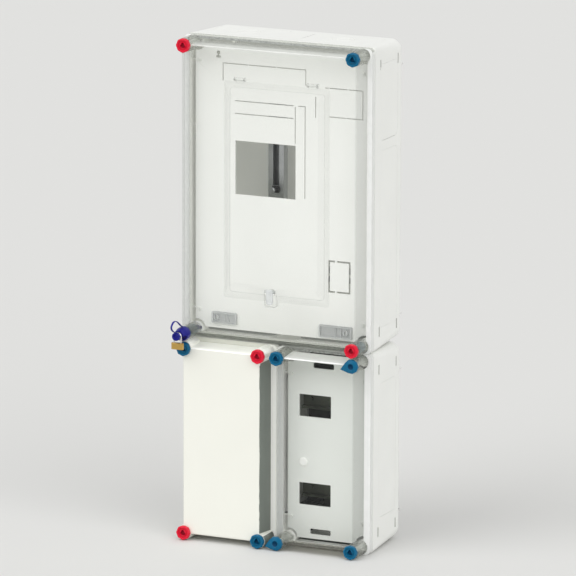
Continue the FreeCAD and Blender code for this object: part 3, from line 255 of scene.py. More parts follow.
@dataclass(frozen=True)
class ClearPlastic:
    """A see-through moulded plastic, mixed from a clear share and a pale solid share.

    A flat front hardly shows. The losses take light from what lies behind: on every face, on a slight
    bevel, on a wall that leans away from the front, on any surface seen edge-on, and on a wall low on the
    cabinet, which is painted shade, darker towards the bottom. The solid shares add the pale body on every
    face, on an edge-on one and near the lid's face, the last a painted highlight. On walls half of that body
    lets the light through, as frosted plastic does, and it may glow faintly, which is painted light.
    """

    name: str
    tint: Colour
    body: Colour
    front_loss: float = 0.002
    bevel_loss: float = 0.035
    wall_loss: float = 0.02
    edge_loss: float = 0.22
    low_painted_shade: float = 0.04
    solid: float = 0.012
    edge_solid: float = 0.5
    front_painted_highlight: float = 0.0
    glow: float = 0.0
    roughness: float = 0.06
    wave_height: float = 0.00025

    def build(self) -> bpy.types.Material:
        """Makes the material.

        Returns:
            The new material.
        """
        g = Graph(self.name + "_finish")
        point = g.place()
        wave = g.noise(point, 11.0, 2.0)
        haze = g.noise(point, 45.0, 3.0)
        scuff = g.noise(g.place((1.0, 1.0, 0.15)), 900.0, 2.0)
        normal = g.relief([(wave, self.wave_height)])
        facing = g.add("LayerWeight", Blend=0.5, Normal=normal).outputs["Facing"]
        grazing = g.math("POWER", facing, 3.0)
        across = g.add("SeparateXYZ", Vector=g.add("TexCoord").outputs["Normal"]).outputs["Y"]
        slope = g.math("SUBTRACT", 1.0, g.math("ABSOLUTE", across))
        leaning = g.stretch(slope, 0.2, 1.0, 0.0, 1.0)
        place = g.add("SeparateXYZ", Vector=point)
        # A painted highlight: the pale body grows towards the lid's face.
        front = g.stretch(place.outputs["Y"], -0.150, -0.172, 0.0, self.front_painted_highlight)
        # Painted shade: darker towards the bottom of the cabinet.
        low = g.stretch(place.outputs["Z"], 0.45, -0.45, 0.0, self.low_painted_shade)
        bevel = g.stretch(slope, 0.01, 0.07, 0.0, self.bevel_loss)
        wall = g.math("MULTIPLY", leaning, g.math("ADD", low, self.wall_loss))
        flat = g.math("ADD", g.math("ADD", bevel, wall), self.front_loss)
        loss = g.math("ADD", flat, g.math("MULTIPLY", grazing, self.edge_loss))
        clear = g.add("BsdfTransparent", Color=g.blend(loss, self.tint, (0.0, 0.0, 0.0)))
        share = g.math("ADD", g.math("MULTIPLY", grazing, self.edge_solid), g.math("ADD", front, self.solid))
        rough = g.spread(scuff, self.roughness, self.roughness + 0.05)
        colour = g.blend(g.spread(haze, 0.0, 1.0), shade(self.body, 0.97), shade(self.body, 1.02))
        solid = g.add("BsdfPrincipled", Base_Color=colour, Roughness=rough, Normal=normal)
        solid.inputs["Specular IOR Level"].default_value = 0.6
        # The glow is painted light.
        solid.inputs["Emission Color"].default_value = (*self.body, 1.0)
        solid.inputs["Emission Strength"].default_value = self.glow
        through = g.add("BsdfTranslucent", Color=colour)
        body = g.add("MixShader")
        g.feed(body, "in 0", g.math("MULTIPLY", leaning, 0.5))
        g.feed(body, "in 1", solid.outputs["BSDF"])
        g.feed(body, "in 2", through.outputs["BSDF"])
        mixed = g.add("MixShader")
        g.feed(mixed, "in 0", share)
        g.feed(mixed, "in 1", clear.outputs["BSDF"])
        g.feed(mixed, "in 2", body.outputs["Shader"])
        return g.finish(mixed.outputs["Shader"])


@dataclass(frozen=True)
class SheetMetal:
    """A plated or polished metal with a grain along one direction."""

    name: str
    colour: Colour
    roughness: float = 0.32
    stretch: tuple[float, float, float] = (1.0, 1.0, 0.05)
    grain_per_m: float = 1800.0
    grain_height: float = 0.000008
    patches: float = 0.12

    def build(self) -> bpy.types.Material:
        """Makes the material.

        Returns:
            The new material.
        """
        g = Graph(self.name + "_finish")
        point = g.place()
        streak = g.noise(g.place(self.stretch), self.grain_per_m, 3.0)
        cell = g.add("TexVoronoi", Vector=point, Scale=130.0)
        cloud = g.noise(point, 40.0, 3.0)
        dark, pale = shade(self.colour, 1 - self.patches), shade(self.colour, 1.03)
        tone = g.blend(g.spread(cloud, 0.0, 1.0), dark, pale)
        crystals = g.stretch(cell.outputs["Distance"], 0.0, 1.0, 0.0, self.patches * 2)
        colour = g.blend(crystals, tone, shade(self.colour, 1 - 2 * self.patches))
        rough = g.spread(streak, self.roughness - 0.07, self.roughness + 0.1)
        normal = g.relief([(streak, self.grain_height)])
        metal = g.add("BsdfPrincipled", Base_Color=colour, Roughness=rough, Normal=normal)
        metal.inputs["Metallic"].default_value = 1.0
        return g.finish(metal.outputs["BSDF"])


@dataclass(frozen=True)
class FoamRubber:
    """A foamed seal with open pores."""

    name: str
    colour: Colour

    def build(self) -> bpy.types.Material:
        """Makes the material.

        Returns:
            The new material.
        """
        g = Graph(self.name + "_finish")
        point = g.place()
        pores = g.add("TexVoronoi", Vector=point, Scale=1500.0).outputs["Distance"]
        cloud = g.noise(point, 300.0, 3.0)
        colour = g.blend(g.spread(cloud, 0.0, 1.0), shade(self.colour, 0.7), shade(self.colour, 1.4))
        normal = g.relief([(pores, 0.00008)])
        body = g.add("BsdfPrincipled", Base_Color=colour, Roughness=0.85, Normal=normal)
        return g.finish(body.outputs["BSDF"])


class Finish(Enum):
    """Every finish on the cabinet.

    A finish with the name of one of the record's slots covers whole pieces. The others are painted on some
    faces of a piece, or its piece names the slot.
    """

    SHELL = MouldedPlastic("grey_shell", srgb(244, 245, 241))
    # Inner faces of the boxes: paler than the shell and glowing, painted light inside the closed boxes.
    SHELL_INSIDE_PAINTED_LIGHT = MouldedPlastic("shell_inside_painted_light", srgb(250, 251, 246), roughness=0.55, glow=0.10)
    # Faces deep inside the lower right box: nearly black, painted shade.
    SHELL_PAINTED_SHADE = MouldedPlastic("shell_painted_shade", srgb(26, 32, 20), roughness=0.6)
    # Floors of the shallow slots in the walls: a darker grey, painted shade.
    SHELL_SLOT_PAINTED_SHADE = MouldedPlastic("shell_slot_painted_shade", srgb(132, 134, 124), roughness=0.6)
    # The device rails in the dark lower right box: a darker copy of the zinc, painted shade.
    RAIL_PAINTED_SHADE = SheetMetal("rail_painted_shade", srgb(92, 96, 84), roughness=0.4)
    JOINING = MouldedPlastic("joining_plastic", srgb(200, 202, 200))
    WHITE_PLATE = MouldedPlastic("white_plate", srgb(249, 250, 246), roughness=0.38, mottle=0.012)
    GREY_PLATE = MouldedPlastic("grey_plate", srgb(234, 237, 232), roughness=0.4, mottle=0.015)
    WHITE_LID = MouldedPlastic("white_cover", srgb(243, 243, 234), roughness=0.3, mottle=0.012, coat=0.25)
    # The lower left lid's top wall and side strips: whiter than the lid and glowing, painted light where the
    # upper box casts shade.
    LID_TOP_PAINTED_LIGHT = MouldedPlastic("lid_top_painted_light", srgb(252, 252, 247), roughness=0.36, coat=0.2, glow=0.16)
    # The lower left lid's right wall: a darker grey, painted shade.
    LID_SIDE_PAINTED_SHADE = MouldedPlastic("lid_side_painted_shade", srgb(122, 129, 122), roughness=0.4)
    DARK_PLASTIC = MouldedPlastic("dark_plastic", srgb(40, 40, 42), roughness=0.5)
    RED_LOCK = MouldedPlastic("red_lock", srgb(224, 20, 54), roughness=0.3, mottle=0.05, gloss=0.3)
    # Sunk rings and sockets of the red lock heads: darker copies of the red, painted shade.
    RED_DISH_PAINTED_SHADE = MouldedPlastic("red_dish_painted_shade", srgb(214, 16, 48), roughness=0.35, mottle=0.05, gloss=0.25)
    RED_SOCKET_PAINTED_SHADE = MouldedPlastic("red_socket_painted_shade", srgb(160, 10, 38), roughness=0.5, gloss=0.2)
    BLUE_LOCK = MouldedPlastic("blue_lock", srgb(0, 98, 136), roughness=0.3, mottle=0.05, gloss=0.25)
    # Sunk rings and sockets of the blue lock heads: darker copies of the blue, painted shade.
    BLUE_DISH_PAINTED_SHADE = MouldedPlastic("blue_dish_painted_shade", srgb(0, 92, 128), roughness=0.35, mottle=0.05, gloss=0.2)
    BLUE_SOCKET_PAINTED_SHADE = MouldedPlastic("blue_socket_painted_shade", srgb(0, 62, 98), roughness=0.5, gloss=0.15)
    NAVY_LOCK = MouldedPlastic("navy_lock", srgb(26, 26, 132), roughness=0.3, mottle=0.05, gloss=0.25)
    CLEAR_LID = ClearPlastic("clear_cover", (0.998, 0.999, 0.997), srgb(242, 245, 242))
    # Side strips of the clear lids and the lower right lid's top wall: a pale, nearly solid body that glows,
    # painted light.
    PALE_EDGE_PAINTED_LIGHT = ClearPlastic(
        "pale_edge_painted_light", (0.98, 0.985, 0.975), srgb(253, 254, 252), solid=0.9, edge_solid=0.1, glow=0.08)
    # The upper lid's top wall: a pale body that grows towards its front edge, a painted highlight.
    TOP_PAINTED_HIGHLIGHT = ClearPlastic(
        "top_painted_highlight", (0.98, 0.985, 0.975), srgb(250, 251, 248), solid=0.15, edge_solid=0.1, front_painted_highlight=0.4)
    FROSTED_TOWER = ClearPlastic(
        "frosted_tower", (0.96, 0.965, 0.955), srgb(226, 228, 222), solid=0.2, edge_solid=0.4)
    # Walls of the lids that face down: a grey body and a darker tint, painted shade.
    CLEAR_LOW_PAINTED_SHADE = ClearPlastic(
        "clear_low_painted_shade", (0.92, 0.93, 0.90), srgb(196, 199, 190), solid=0.12, edge_solid=0.2)
    CLEAR_SHADED = ClearPlastic(
        "clear_shaded", (0.86, 0.85, 0.81), srgb(160, 157, 148), solid=0.35, edge_solid=0.2)
    CLEAR_CLIP = ClearPlastic(
        "clear_clip", (0.97, 0.98, 0.98), srgb(240, 242, 242), solid=0.5, edge_solid=0.4)
    BLUE_SLEEVE = ClearPlastic(
        "blue_sleeve", (0.80, 0.89, 0.93), srgb(150, 180, 194), solid=0.3, edge_solid=0.75)
    PALE_PIN = MouldedPlastic("pale_pin", srgb(238, 240, 235), roughness=0.4)
    ZINC = SheetMetal("zinc_steel", srgb(196, 198, 200))
    BRASS = SheetMetal("brass", srgb(206, 170, 96), roughness=0.3, stretch=(1.0, 1.0, 12.0), patches=0.06)
    CHROME = SheetMetal("chrome_steel", srgb(222, 222, 224), roughness=0.12, patches=0.03)
    SEAL = FoamRubber("seal", srgb(180, 182, 179))

    def material(self) -> bpy.types.Material:
        """The material, made on first use."""
        name = self.value.name + "_finish"
        return bpy.data.materials.get(name) or self.value.build()


FaceRule = Callable[[np.ndarray, np.ndarray], np.ndarray]


def grid_mesh(name: str, points: np.ndarray) -> bpy.types.Mesh:
    """Makes a closed mesh from a grid of points whose columns run round it.

    Each quad joins point (i, j) to its neighbours in row and column, where the columns wrap round.
    The first and last rows are closed by a fan to their mean point.

    Args:
        name: the mesh's name.
        points: rows by columns by 3, in metres.

    Returns:
        The mesh, with its faces pointing outwards.
    """
    rows, cols = points.shape[:2]
    i, j = np.meshgrid(np.arange(rows - 1), np.arange(cols), indexing="ij")
    beside = (j + 1) % cols
    corners = (i * cols + j, i * cols + beside, (i + 1) * cols + beside, (i + 1) * cols + j)
    faces = np.stack(corners, -1).reshape(-1, 4).tolist()
    count = rows * cols
    ring = np.arange(cols)
    after = (ring + 1) % cols
    for row, middle, order in ((0, count, (0, 2, 1)), (rows - 1, count + 1, (0, 1, 2))):
        fan = np.stack([np.full(cols, middle), row * cols + ring, row * cols + after], -1)[:, order]
        faces += fan.tolist()
    verts = np.vstack([points.reshape(-1, 3), points[0].mean(0), points[-1].mean(0)])
    mesh = bpy.data.meshes.new(name)
    mesh.from_pydata(verts.tolist(), [], faces)
    build = bmesh.new()
    build.from_mesh(mesh)
    bmesh.ops.remove_doubles(build, verts=build.verts, dist=1e-7)
    bmesh.ops.recalc_face_normals(build, faces=build.faces)
    if build.calc_volume(signed=True) < 0:
        bmesh.ops.reverse_faces(build, faces=build.faces)
    build.to_mesh(mesh)
    build.free()
    return mesh


def face_table(mesh: bpy.types.Mesh) -> tuple[np.ndarray, np.ndarray]:
    """Reads the faces of a mesh.

    Args:
        mesh: the mesh.

    Returns:
        The middles of its faces, in millimetres, and their normals.
    """
    count = len(mesh.polygons)
    middles, normals = np.empty(count * 3), np.empty(count * 3)
    mesh.polygons.foreach_get("center", middles)
    mesh.polygons.foreach_get("normal", normals)
    return middles.reshape(-1, 3) / MM, normals.reshape(-1, 3)


def node_box(node: str) -> tuple[np.ndarray, np.ndarray]:
    """Measures a node of the frame.

    Args:
        node: the node's name.

    Returns:
        The low and high corners of its box, in millimetres.
    """
    mesh = frame["nodes"][node].data
    points = np.empty(len(mesh.vertices) * 3)
    mesh.vertices.foreach_get("co", points)
    points = points.reshape(-1, 3) / MM
    return points.min(0), points.max(0)


def smooth_by_angle(mesh: bpy.types.Mesh, degrees: float = 32.0) -> None:
    """Shades a mesh smooth, apart from its sharp edges.

    Args:
        mesh: the mesh.
        degrees: an edge that bends by more than this stays sharp.
    """
    mesh.shade_smooth()
    mesh.set_sharp_from_angle(angle=math.radians(degrees))


def place_piece(mesh: bpy.types.Mesh, body: str,
                bevel_mm: float = 0.0) -> bpy.types.Object:
    """Puts a mesh into the scene as a piece that rides on a body.

    Args:
        mesh: the piece's mesh, in place and with its materials.
        body: the moving body that carries it.
        bevel_mm: width of a small rounding on its sharp edges.

    Returns:
        The object.
    """
    obj = bpy.data.objects.new(mesh.name, mesh)
    bpy.context.scene.collection.objects.link(obj)
    if bevel_mm:
        bevel = obj.modifiers.new("edges", "BEVEL")
        bevel.width = bevel_mm * MM
        bevel.segments = 2
        bevel.limit_method = "ANGLE"
        bevel.angle_limit = math.radians(BEVEL_FROM_DEG)
        bevel.harden_normals = True
    weighted = obj.modifiers.new("normals", "WEIGHTED_NORMAL")
    weighted.keep_sharp = True
    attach(obj, body)
    LOG.info("%s on %s: %d faces", obj.name, body, len(mesh.polygons))
    return obj


def merged_copy(node: str) -> bpy.types.Mesh:
    """A copy of a node's mesh whose triangles share their corners and whose flat faces are whole.

    Args:
        node: the node's name.

    Returns:
        The copy, without materials.
    """
    mesh = frame["nodes"][node].data.copy()
    mesh.name = node + "_dressed"
    mesh.materials.clear()
    build = bmesh.new()
    build.from_mesh(mesh)
    bmesh.ops.remove_doubles(build, verts=build.verts, dist=MERGE_M)
    bmesh.ops.dissolve_degenerate(build, edges=build.edges, dist=MERGE_M / 2)
    bmesh.ops.dissolve_limit(build, angle_limit=math.radians(FLAT_DEG), verts=build.verts, edges=build.edges)
    build.to_mesh(mesh)
    build.free()
    return mesh


def smooth_copy(node: str, finish: Finish, bevel_mm: float = 0.0,
                paint: Sequence[tuple[Finish, FaceRule]] = ()) -> bpy.types.Object:
    """Stands a merged, smoothly shaded copy in for a node of the frame.

    Args:
        node: the node's name.
        finish: its finish.
        bevel_mm: width of a small rounding on its sharp edges.
        paint: further finishes, each for the faces that its rule picks.

    Returns:
        The new object.
    """
    mesh = merged_copy(node)
    smooth_by_angle(mesh)
    mesh.materials.append(finish.material())
    middles, normals = face_table(mesh)
    index = np.zeros(len(mesh.polygons), dtype=np.int32)
    for number, (other, rule) in enumerate(paint, start=1):
        mesh.materials.append(other.material())
        index[rule(middles, normals)] = number
    mesh.polygons.foreach_set("material_index", index)
    obj = place_piece(mesh, frame["nodes"][node]["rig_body"], bevel_mm)
    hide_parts(node)
    return obj


class WallSide(Enum):
    """The kinds of faces on a base box's walls that take their own finish."""

    INNER = "inner"
    DEEP = "deep"
    SLOT = "slot"


@dataclass
class Boxes:
    """The three base boxes with their plates, frames and seals."""

    shells: tuple[str, ...] = ("upper_base", "lower_left_base", "lower_right_base")
    plates: tuple[str, ...] = (
        "side_plate_upper_left", "side_plate_upper_right", "side_plate_lower_left", "side_plate_lower_right",
        "entry_plate_top", "entry_plate_bottom_left", "entry_plate_bottom_right")
    frames: tuple[str, ...] = ("joining_frame_left", "joining_frame_middle", "joining_frame_right")
    seals: tuple[str, ...] = ("upper_seal", "lower_left_seal", "lower_right_seal")
    draft: float = 3.0
    wall: float = 3.0
    rim: float = 8.0
    deep_inside: float = 25.0
    # In the lower right box, inner faces nearer the back than this take painted shade.
    dark_below: float = 88.0
    slot_floor: tuple[float, float] = (0.7, 1.8)
    slot_depths: tuple[float, float] = (20.0, 112.0)
    level: float = 0.99

    def wall_rule(self, node: str, kind: WallSide) -> FaceRule:
        """Picks the faces of one kind on a base box's walls.

        The outline of a base shrinks evenly by the draft towards the wall it hangs on. A face is an inner
        one if it lies more than half the wall thickness inside that outline and points at the middle of
        the box, or if it lies far inside. A level face just under the outline that points away from the
        middle is the floor of a shallow slot.

        Args:
            node: the base box.
            kind: which faces.

        Returns:
            The rule.
        """
        low, high = node_box(node)
        span = high[1] - low[1]
        centre = (low + high) / 2

        def rule(middles: np.ndarray, normals: np.ndarray) -> np.ndarray:
            """True for the faces of this kind."""
            deep = high[1] - middles[:, 1]
            lean = self.draft * (1 - deep / span)
            gap = np.stack([middles[:, 0] - low[0], high[0] - middles[:, 0],
                            middles[:, 2] - low[2], high[2] - middles[:, 2]]).min(0) - lean
            inward = (normals * (centre - middles)).sum(1) > 0
            if kind is WallSide.SLOT:
                flat = np.abs(normals).max(1) > self.level
                sunk = (gap > self.slot_floor[0]) & (gap < self.slot_floor[1])
                reach = (deep > self.slot_depths[0]) & (deep < self.slot_depths[1])
                return sunk & reach & flat & ~inward
            within = (gap > self.wall / 2) & (deep > self.wall / 2) & (deep < span - self.rim)
            inner = within & (inward | (gap > self.deep_inside))
            return inner & (deep < self.dark_below) if kind is WallSide.DEEP else inner
        return rule

    def build(self) -> None:
        """Dresses every piece of the boxes."""
        for node in self.shells:
            # Inner faces take painted light, and the floors of the wall slots a darker grey, painted shade.
            paint = [(Finish.SHELL_INSIDE_PAINTED_LIGHT, self.wall_rule(node, WallSide.INNER)),
                     (Finish.SHELL_SLOT_PAINTED_SHADE, self.wall_rule(node, WallSide.SLOT))]
            if node == "lower_right_base":
                # The lower right box's inner faces far from the rim are painted nearly black, painted shade.
                paint.append((Finish.SHELL_PAINTED_SHADE, self.wall_rule(node, WallSide.DEEP)))
            smooth_copy(node, Finish.SHELL, paint=paint)
        for node in self.plates:
            smooth_copy(node, Finish.SHELL, 0.25)
        for node in self.frames:
            smooth_copy(node, Finish.JOINING, 0.25)
        for node in self.seals:
            smooth_copy(node, Finish.SEAL)


@dataclass
class Inside:
    """What the boxes hold: plates, rails, bars, board and screws."""

    finishes: dict[str, Finish] = field(default_factory=lambda: {
        "meter_plate": Finish.WHITE_PLATE,
        "device_plate": Finish.GREY_PLATE,
        "device_plug": Finish.WHITE_PLATE,
        "plate_clip_left": Finish.CLEAR_CLIP,
        "plate_clip_right": Finish.CLEAR_CLIP,
        "meter_hook_nut": Finish.DARK_PLASTIC,
        # The device rails sit in the lower right box and take painted shade.
        "device_rail_top": Finish.RAIL_PAINTED_SHADE,
        "device_rail_bottom": Finish.RAIL_PAINTED_SHADE,
        "device_rail_screws": Finish.RAIL_PAINTED_SHADE,
    })
    metal: tuple[str, ...] = (
        "cross_bars", "cross_bar_screws", "meter_rail", "meter_rail_screws", "meter_hook", "mounting_board",
        "mounting_board_screws")
    pale_pins: tuple[str, ...] = ("meter_plate_screws", "device_plate_screws", "flap_hinge_pins")

    def build(self) -> None:
        """Dresses every inner piece."""
        for node, finish in self.finishes.items():
            smooth_copy(node, finish, 0.2)
        for node in self.metal:
            smooth_copy(node, Finish.ZINC, 0.12)
        for node in self.pale_pins:
            smooth_copy(node, Finish.PALE_PIN)


@dataclass
class Lids:
    """The three lids with the window flap and its catch.

    The reaches are distances from a lid's edges. A face belongs to a wall when the part of its normal
    across that wall is more than steep, sheer for the right wall with painted shade, or slight for the upper
    strip.
    """

    flange_front: float = 141.5
    low_reach: float = 18.0
    side_reach: float = 11.0
    tower_inset: tuple[float, float] = (17.5, 13.2)
    tower_radius: float = 13.6
    corner_reach: float = 30.0
    sheer: float = 0.7
    steep: float = 0.5
    slight: float = 0.3

    def side_flange(self, node: str) -> FaceRule:
        """Picks the flat strips along the left and right edge of a lid.

        Args:
            node: the lid.

        Returns:
            The rule.
        """
        low, high = node_box(node)

        def rule(middles: np.ndarray, normals: np.ndarray) -> np.ndarray:
            """True for the faces of the strips."""
            side = np.minimum(middles[:, 0] - low[0], high[0] - middles[:, 0]) < self.side_reach
            return side & (-middles[:, 1] < self.flange_front)
        return rule

    def low_wall(self, node: str) -> FaceRule:
        """Picks the wall of a lid's raised middle that faces down.

        Args:
            node: the lid.

        Returns:
            The rule.
        """
        low = node_box(node)[0]

        def rule(middles: np.ndarray, normals: np.ndarray) -> np.ndarray:
            """True for the faces of the lower wall."""
            raised = -middles[:, 1] > self.flange_front
            return raised & (middles[:, 2] < low[2] + self.low_reach) & (abs(normals[:, 2]) > self.steep)
        return rule

    def top_wall(self, node: str) -> FaceRule:
        """Picks the wall of a lid's raised middle that faces up, with the strip above it.

        Args:
            node: the lid.

        Returns:
            The rule.
        """
        high = node_box(node)[1]

        def rule(middles: np.ndarray, normals: np.ndarray) -> np.ndarray:
            """True for the faces of the upper wall and strip."""
            return (middles[:, 2] > high[2] - self.low_reach) & (abs(normals[:, 2]) > self.slight)
        return rule

    def towers(self, node: str) -> FaceRule:
        """Picks the round walls of the four towers that carry a lid's locks.

        Args:
            node: the lid.

        Returns:
            The rule.
        """
        low, high = node_box(node)
        x0, z0 = low[0] + self.tower_inset[0], low[2] + self.tower_inset[1]
        x1, z1 = high[0] - self.tower_inset[0], high[2] - self.tower_inset[1]

        def rule(middles: np.ndarray, normals: np.ndarray) -> np.ndarray:
            """True for the faces of the towers."""
            reach = np.hypot(np.minimum(abs(middles[:, 0] - x0), abs(middles[:, 0] - x1)),
                             np.minimum(abs(middles[:, 2] - z0), abs(middles[:, 2] - z1)))
            return (reach < self.tower_radius) & (abs(normals[:, 1]) < self.steep)
        return rule

    def right_wall(self, node: str) -> FaceRule:
        """Picks the wall of a lid's raised middle that faces right, below its upper corner.

        Args:
            node: the lid.

        Returns:
            The rule.
        """
        high = node_box(node)[1]

        def rule(middles: np.ndarray, normals: np.ndarray) -> np.ndarray:
            """True for the faces of the right wall."""
            raised = (-middles[:, 1] > self.flange_front) & (middles[:, 2] < high[2] - self.corner_reach)
            return raised & (middles[:, 0] > high[0] - self.low_reach) & (normals[:, 0] > self.sheer)
        return rule

    def build(self) -> None:
        """Dresses the lids."""
        # On each clear lid the side strips take painted light, the wall that faces down painted shade, and the
        # top wall a painted highlight on the upper lid and painted light on the lower right one.
        for node, top, low in (("upper_cover", Finish.TOP_PAINTED_HIGHLIGHT, Finish.CLEAR_LOW_PAINTED_SHADE),
                               ("lower_right_cover", Finish.PALE_EDGE_PAINTED_LIGHT, Finish.CLEAR_SHADED)):
            smooth_copy(node, Finish.CLEAR_LID,
                        paint=((Finish.PALE_EDGE_PAINTED_LIGHT, self.side_flange(node)), (low, self.low_wall(node)),
                               (top, self.top_wall(node)), (Finish.FROSTED_TOWER, self.towers(node))))
        smooth_copy("window_flap", Finish.CLEAR_LID)
        smooth_copy("flap_latch", Finish.CLEAR_CLIP, 0.2)
        smooth_copy("lock_sleeves", Finish.BLUE_SLEEVE)
        # The lower left lid's right wall takes painted shade, and its side strips and top wall painted light.
        node = "lower_left_cover"
        smooth_copy(node, Finish.WHITE_LID, paint=((Finish.LID_SIDE_PAINTED_SHADE, self.right_wall(node)),
                                                   (Finish.LID_TOP_PAINTED_LIGHT, self.side_flange(node)),
                                                   (Finish.LID_TOP_PAINTED_LIGHT, self.top_wall(node))))


@dataclass
class LockHead:
    """The turned head of a quarter-turn lock, with eight soft lobes and a grip notch at the top.

    Each row of the profile is a ring, given by its radius, its height over the back of the head, and how
    much of the lobes, of the notch and of the three-sided socket it takes. A ring's radius is
    r (1 - lobe a (1 - cos 8t) / 2) less the notch, a bell curve of t round the top, and in the socket
    r (1 + socket b cos 3(t - 90)). The front of the notch, above its start, dips a little too.
    """

    profile: tuple[tuple[float, float, float, float, float], ...] = (
        (12.0, 0.0, 0.0, 0.0, 0.0), (12.9, 0.5, 0.7, 0.4, 0.0), (13.0, 1.4, 1.0, 0.8, 0.0),
        (13.0, 5.3, 1.0, 1.0, 0.0), (12.8, 6.1, 1.0, 1.0, 0.0), (12.2, 6.7, 0.9, 1.0, 0.0),
        (11.4, 6.9, 0.7, 1.0, 0.0), (9.9, 6.9, 0.3, 0.6, 0.0), (9.3, 6.5, 0.1, 0.3, 0.0),
        (8.9, 5.3, 0.0, 0.0, 0.0), (6.2, 5.1, 0.0, 0.0, 0.0), (5.8, 6.3, 0.0, 0.0, 0.0),
        (4.9, 6.5, 0.0, 0.0, 0.6), (4.3, 6.0, 0.0, 0.0, 1.0), (4.0, 2.6, 0.0, 0.0, 1.0))
    lobes: int = 8
    lobe_depth: float = 0.06
    notch_depth: float = 1.9
    notch_width_deg: float = 11.0
    notch_dip: float = 0.5
    notch_start: float = 6.0
    socket_swell: float = 0.3
    columns: int = 96

    def mesh(self, name: str, x: float, z: float, back: float) -> bpy.types.Mesh:
        """Builds the head round an axis.

        Args:
            name: the mesh's name.
            x, z: the axis, in millimetres.
            back: the depth of its back face.

        Returns:
            The mesh.
        """
        t = np.linspace(0, 2 * np.pi, self.columns, endpoint=False)[None, :]
        radius, height, lobe, notch, socket = np.array(self.profile).T[:, :, None]
        turn = np.angle(np.exp(1j * (t - np.pi / 2)))
        bell = np.exp(-(np.degrees(turn) / self.notch_width_deg) ** 2)
        ring = radius * (1 - lobe * self.lobe_depth * (1 - np.cos(self.lobes * t)) / 2)
        ring = ring - notch * self.notch_depth * bell
        ring = ring * (1 + socket * self.socket_swell * np.cos(3 * (t - np.pi / 2)))
        deep = back + height - self.notch_dip * notch * bell * (height > self.notch_start)
        points = np.stack([x + ring * np.cos(t), -(deep + 0 * t), z + ring * np.sin(t)], -1)
        return grid_mesh(name, points * MM)


@dataclass
class PointerHead:
    """A lock head cut like a stone: flat facets from a hub to a ring of corners, drawn out to a tip.

    The corners lie at chosen angles from the tip. Each row gives a scale and a height: the ring of corners
    is scaled about the axis, so each strip between two corners stays flat. Below the hub's scale the ring
    is the hub's, whose tip reaches no further than its other corners.
    """

    tip_reach: float = 21.5
    radius: float = 12.9
    corner_turns: tuple[float, ...] = (46.0, 84.0, 122.0, 160.0)
    tip_turn: float = 198.0
    hub_scale: float = 0.6
    rows: tuple[tuple[float, float], ...] = (
        (0.9, 0.0), (1.0, 0.8), (1.0, 4.6), (0.93, 5.5), (0.5, 7.3), (0.40, 6.9), (0.30, 4.2))

    def mesh(self, name: str, x: float, z: float, back: float) -> bpy.types.Mesh:
        """Builds the head round an axis.

        Args:
            name: the mesh's name.
            x, z: the axis, in millimetres.
            back: the depth of its back face.

        Returns:
            The mesh.
        """
        turns = np.array((0.0, *self.corner_turns, *(-turn for turn in reversed(self.corner_turns))))
        reach = np.where(turns == 0.0, self.tip_reach, self.radius)
        t = np.radians(turns + self.tip_turn)
        scale, height = np.array(self.rows).T[:, :, None]
        hub = np.minimum(reach, self.radius)
        ring = scale * np.where(scale > self.hub_scale, reach, hub)
        points = np.stack([x + ring * np.cos(t), -(back + height + 0 * ring), z + ring * np.sin(t)], -1)
        return grid_mesh(name, points * MM)


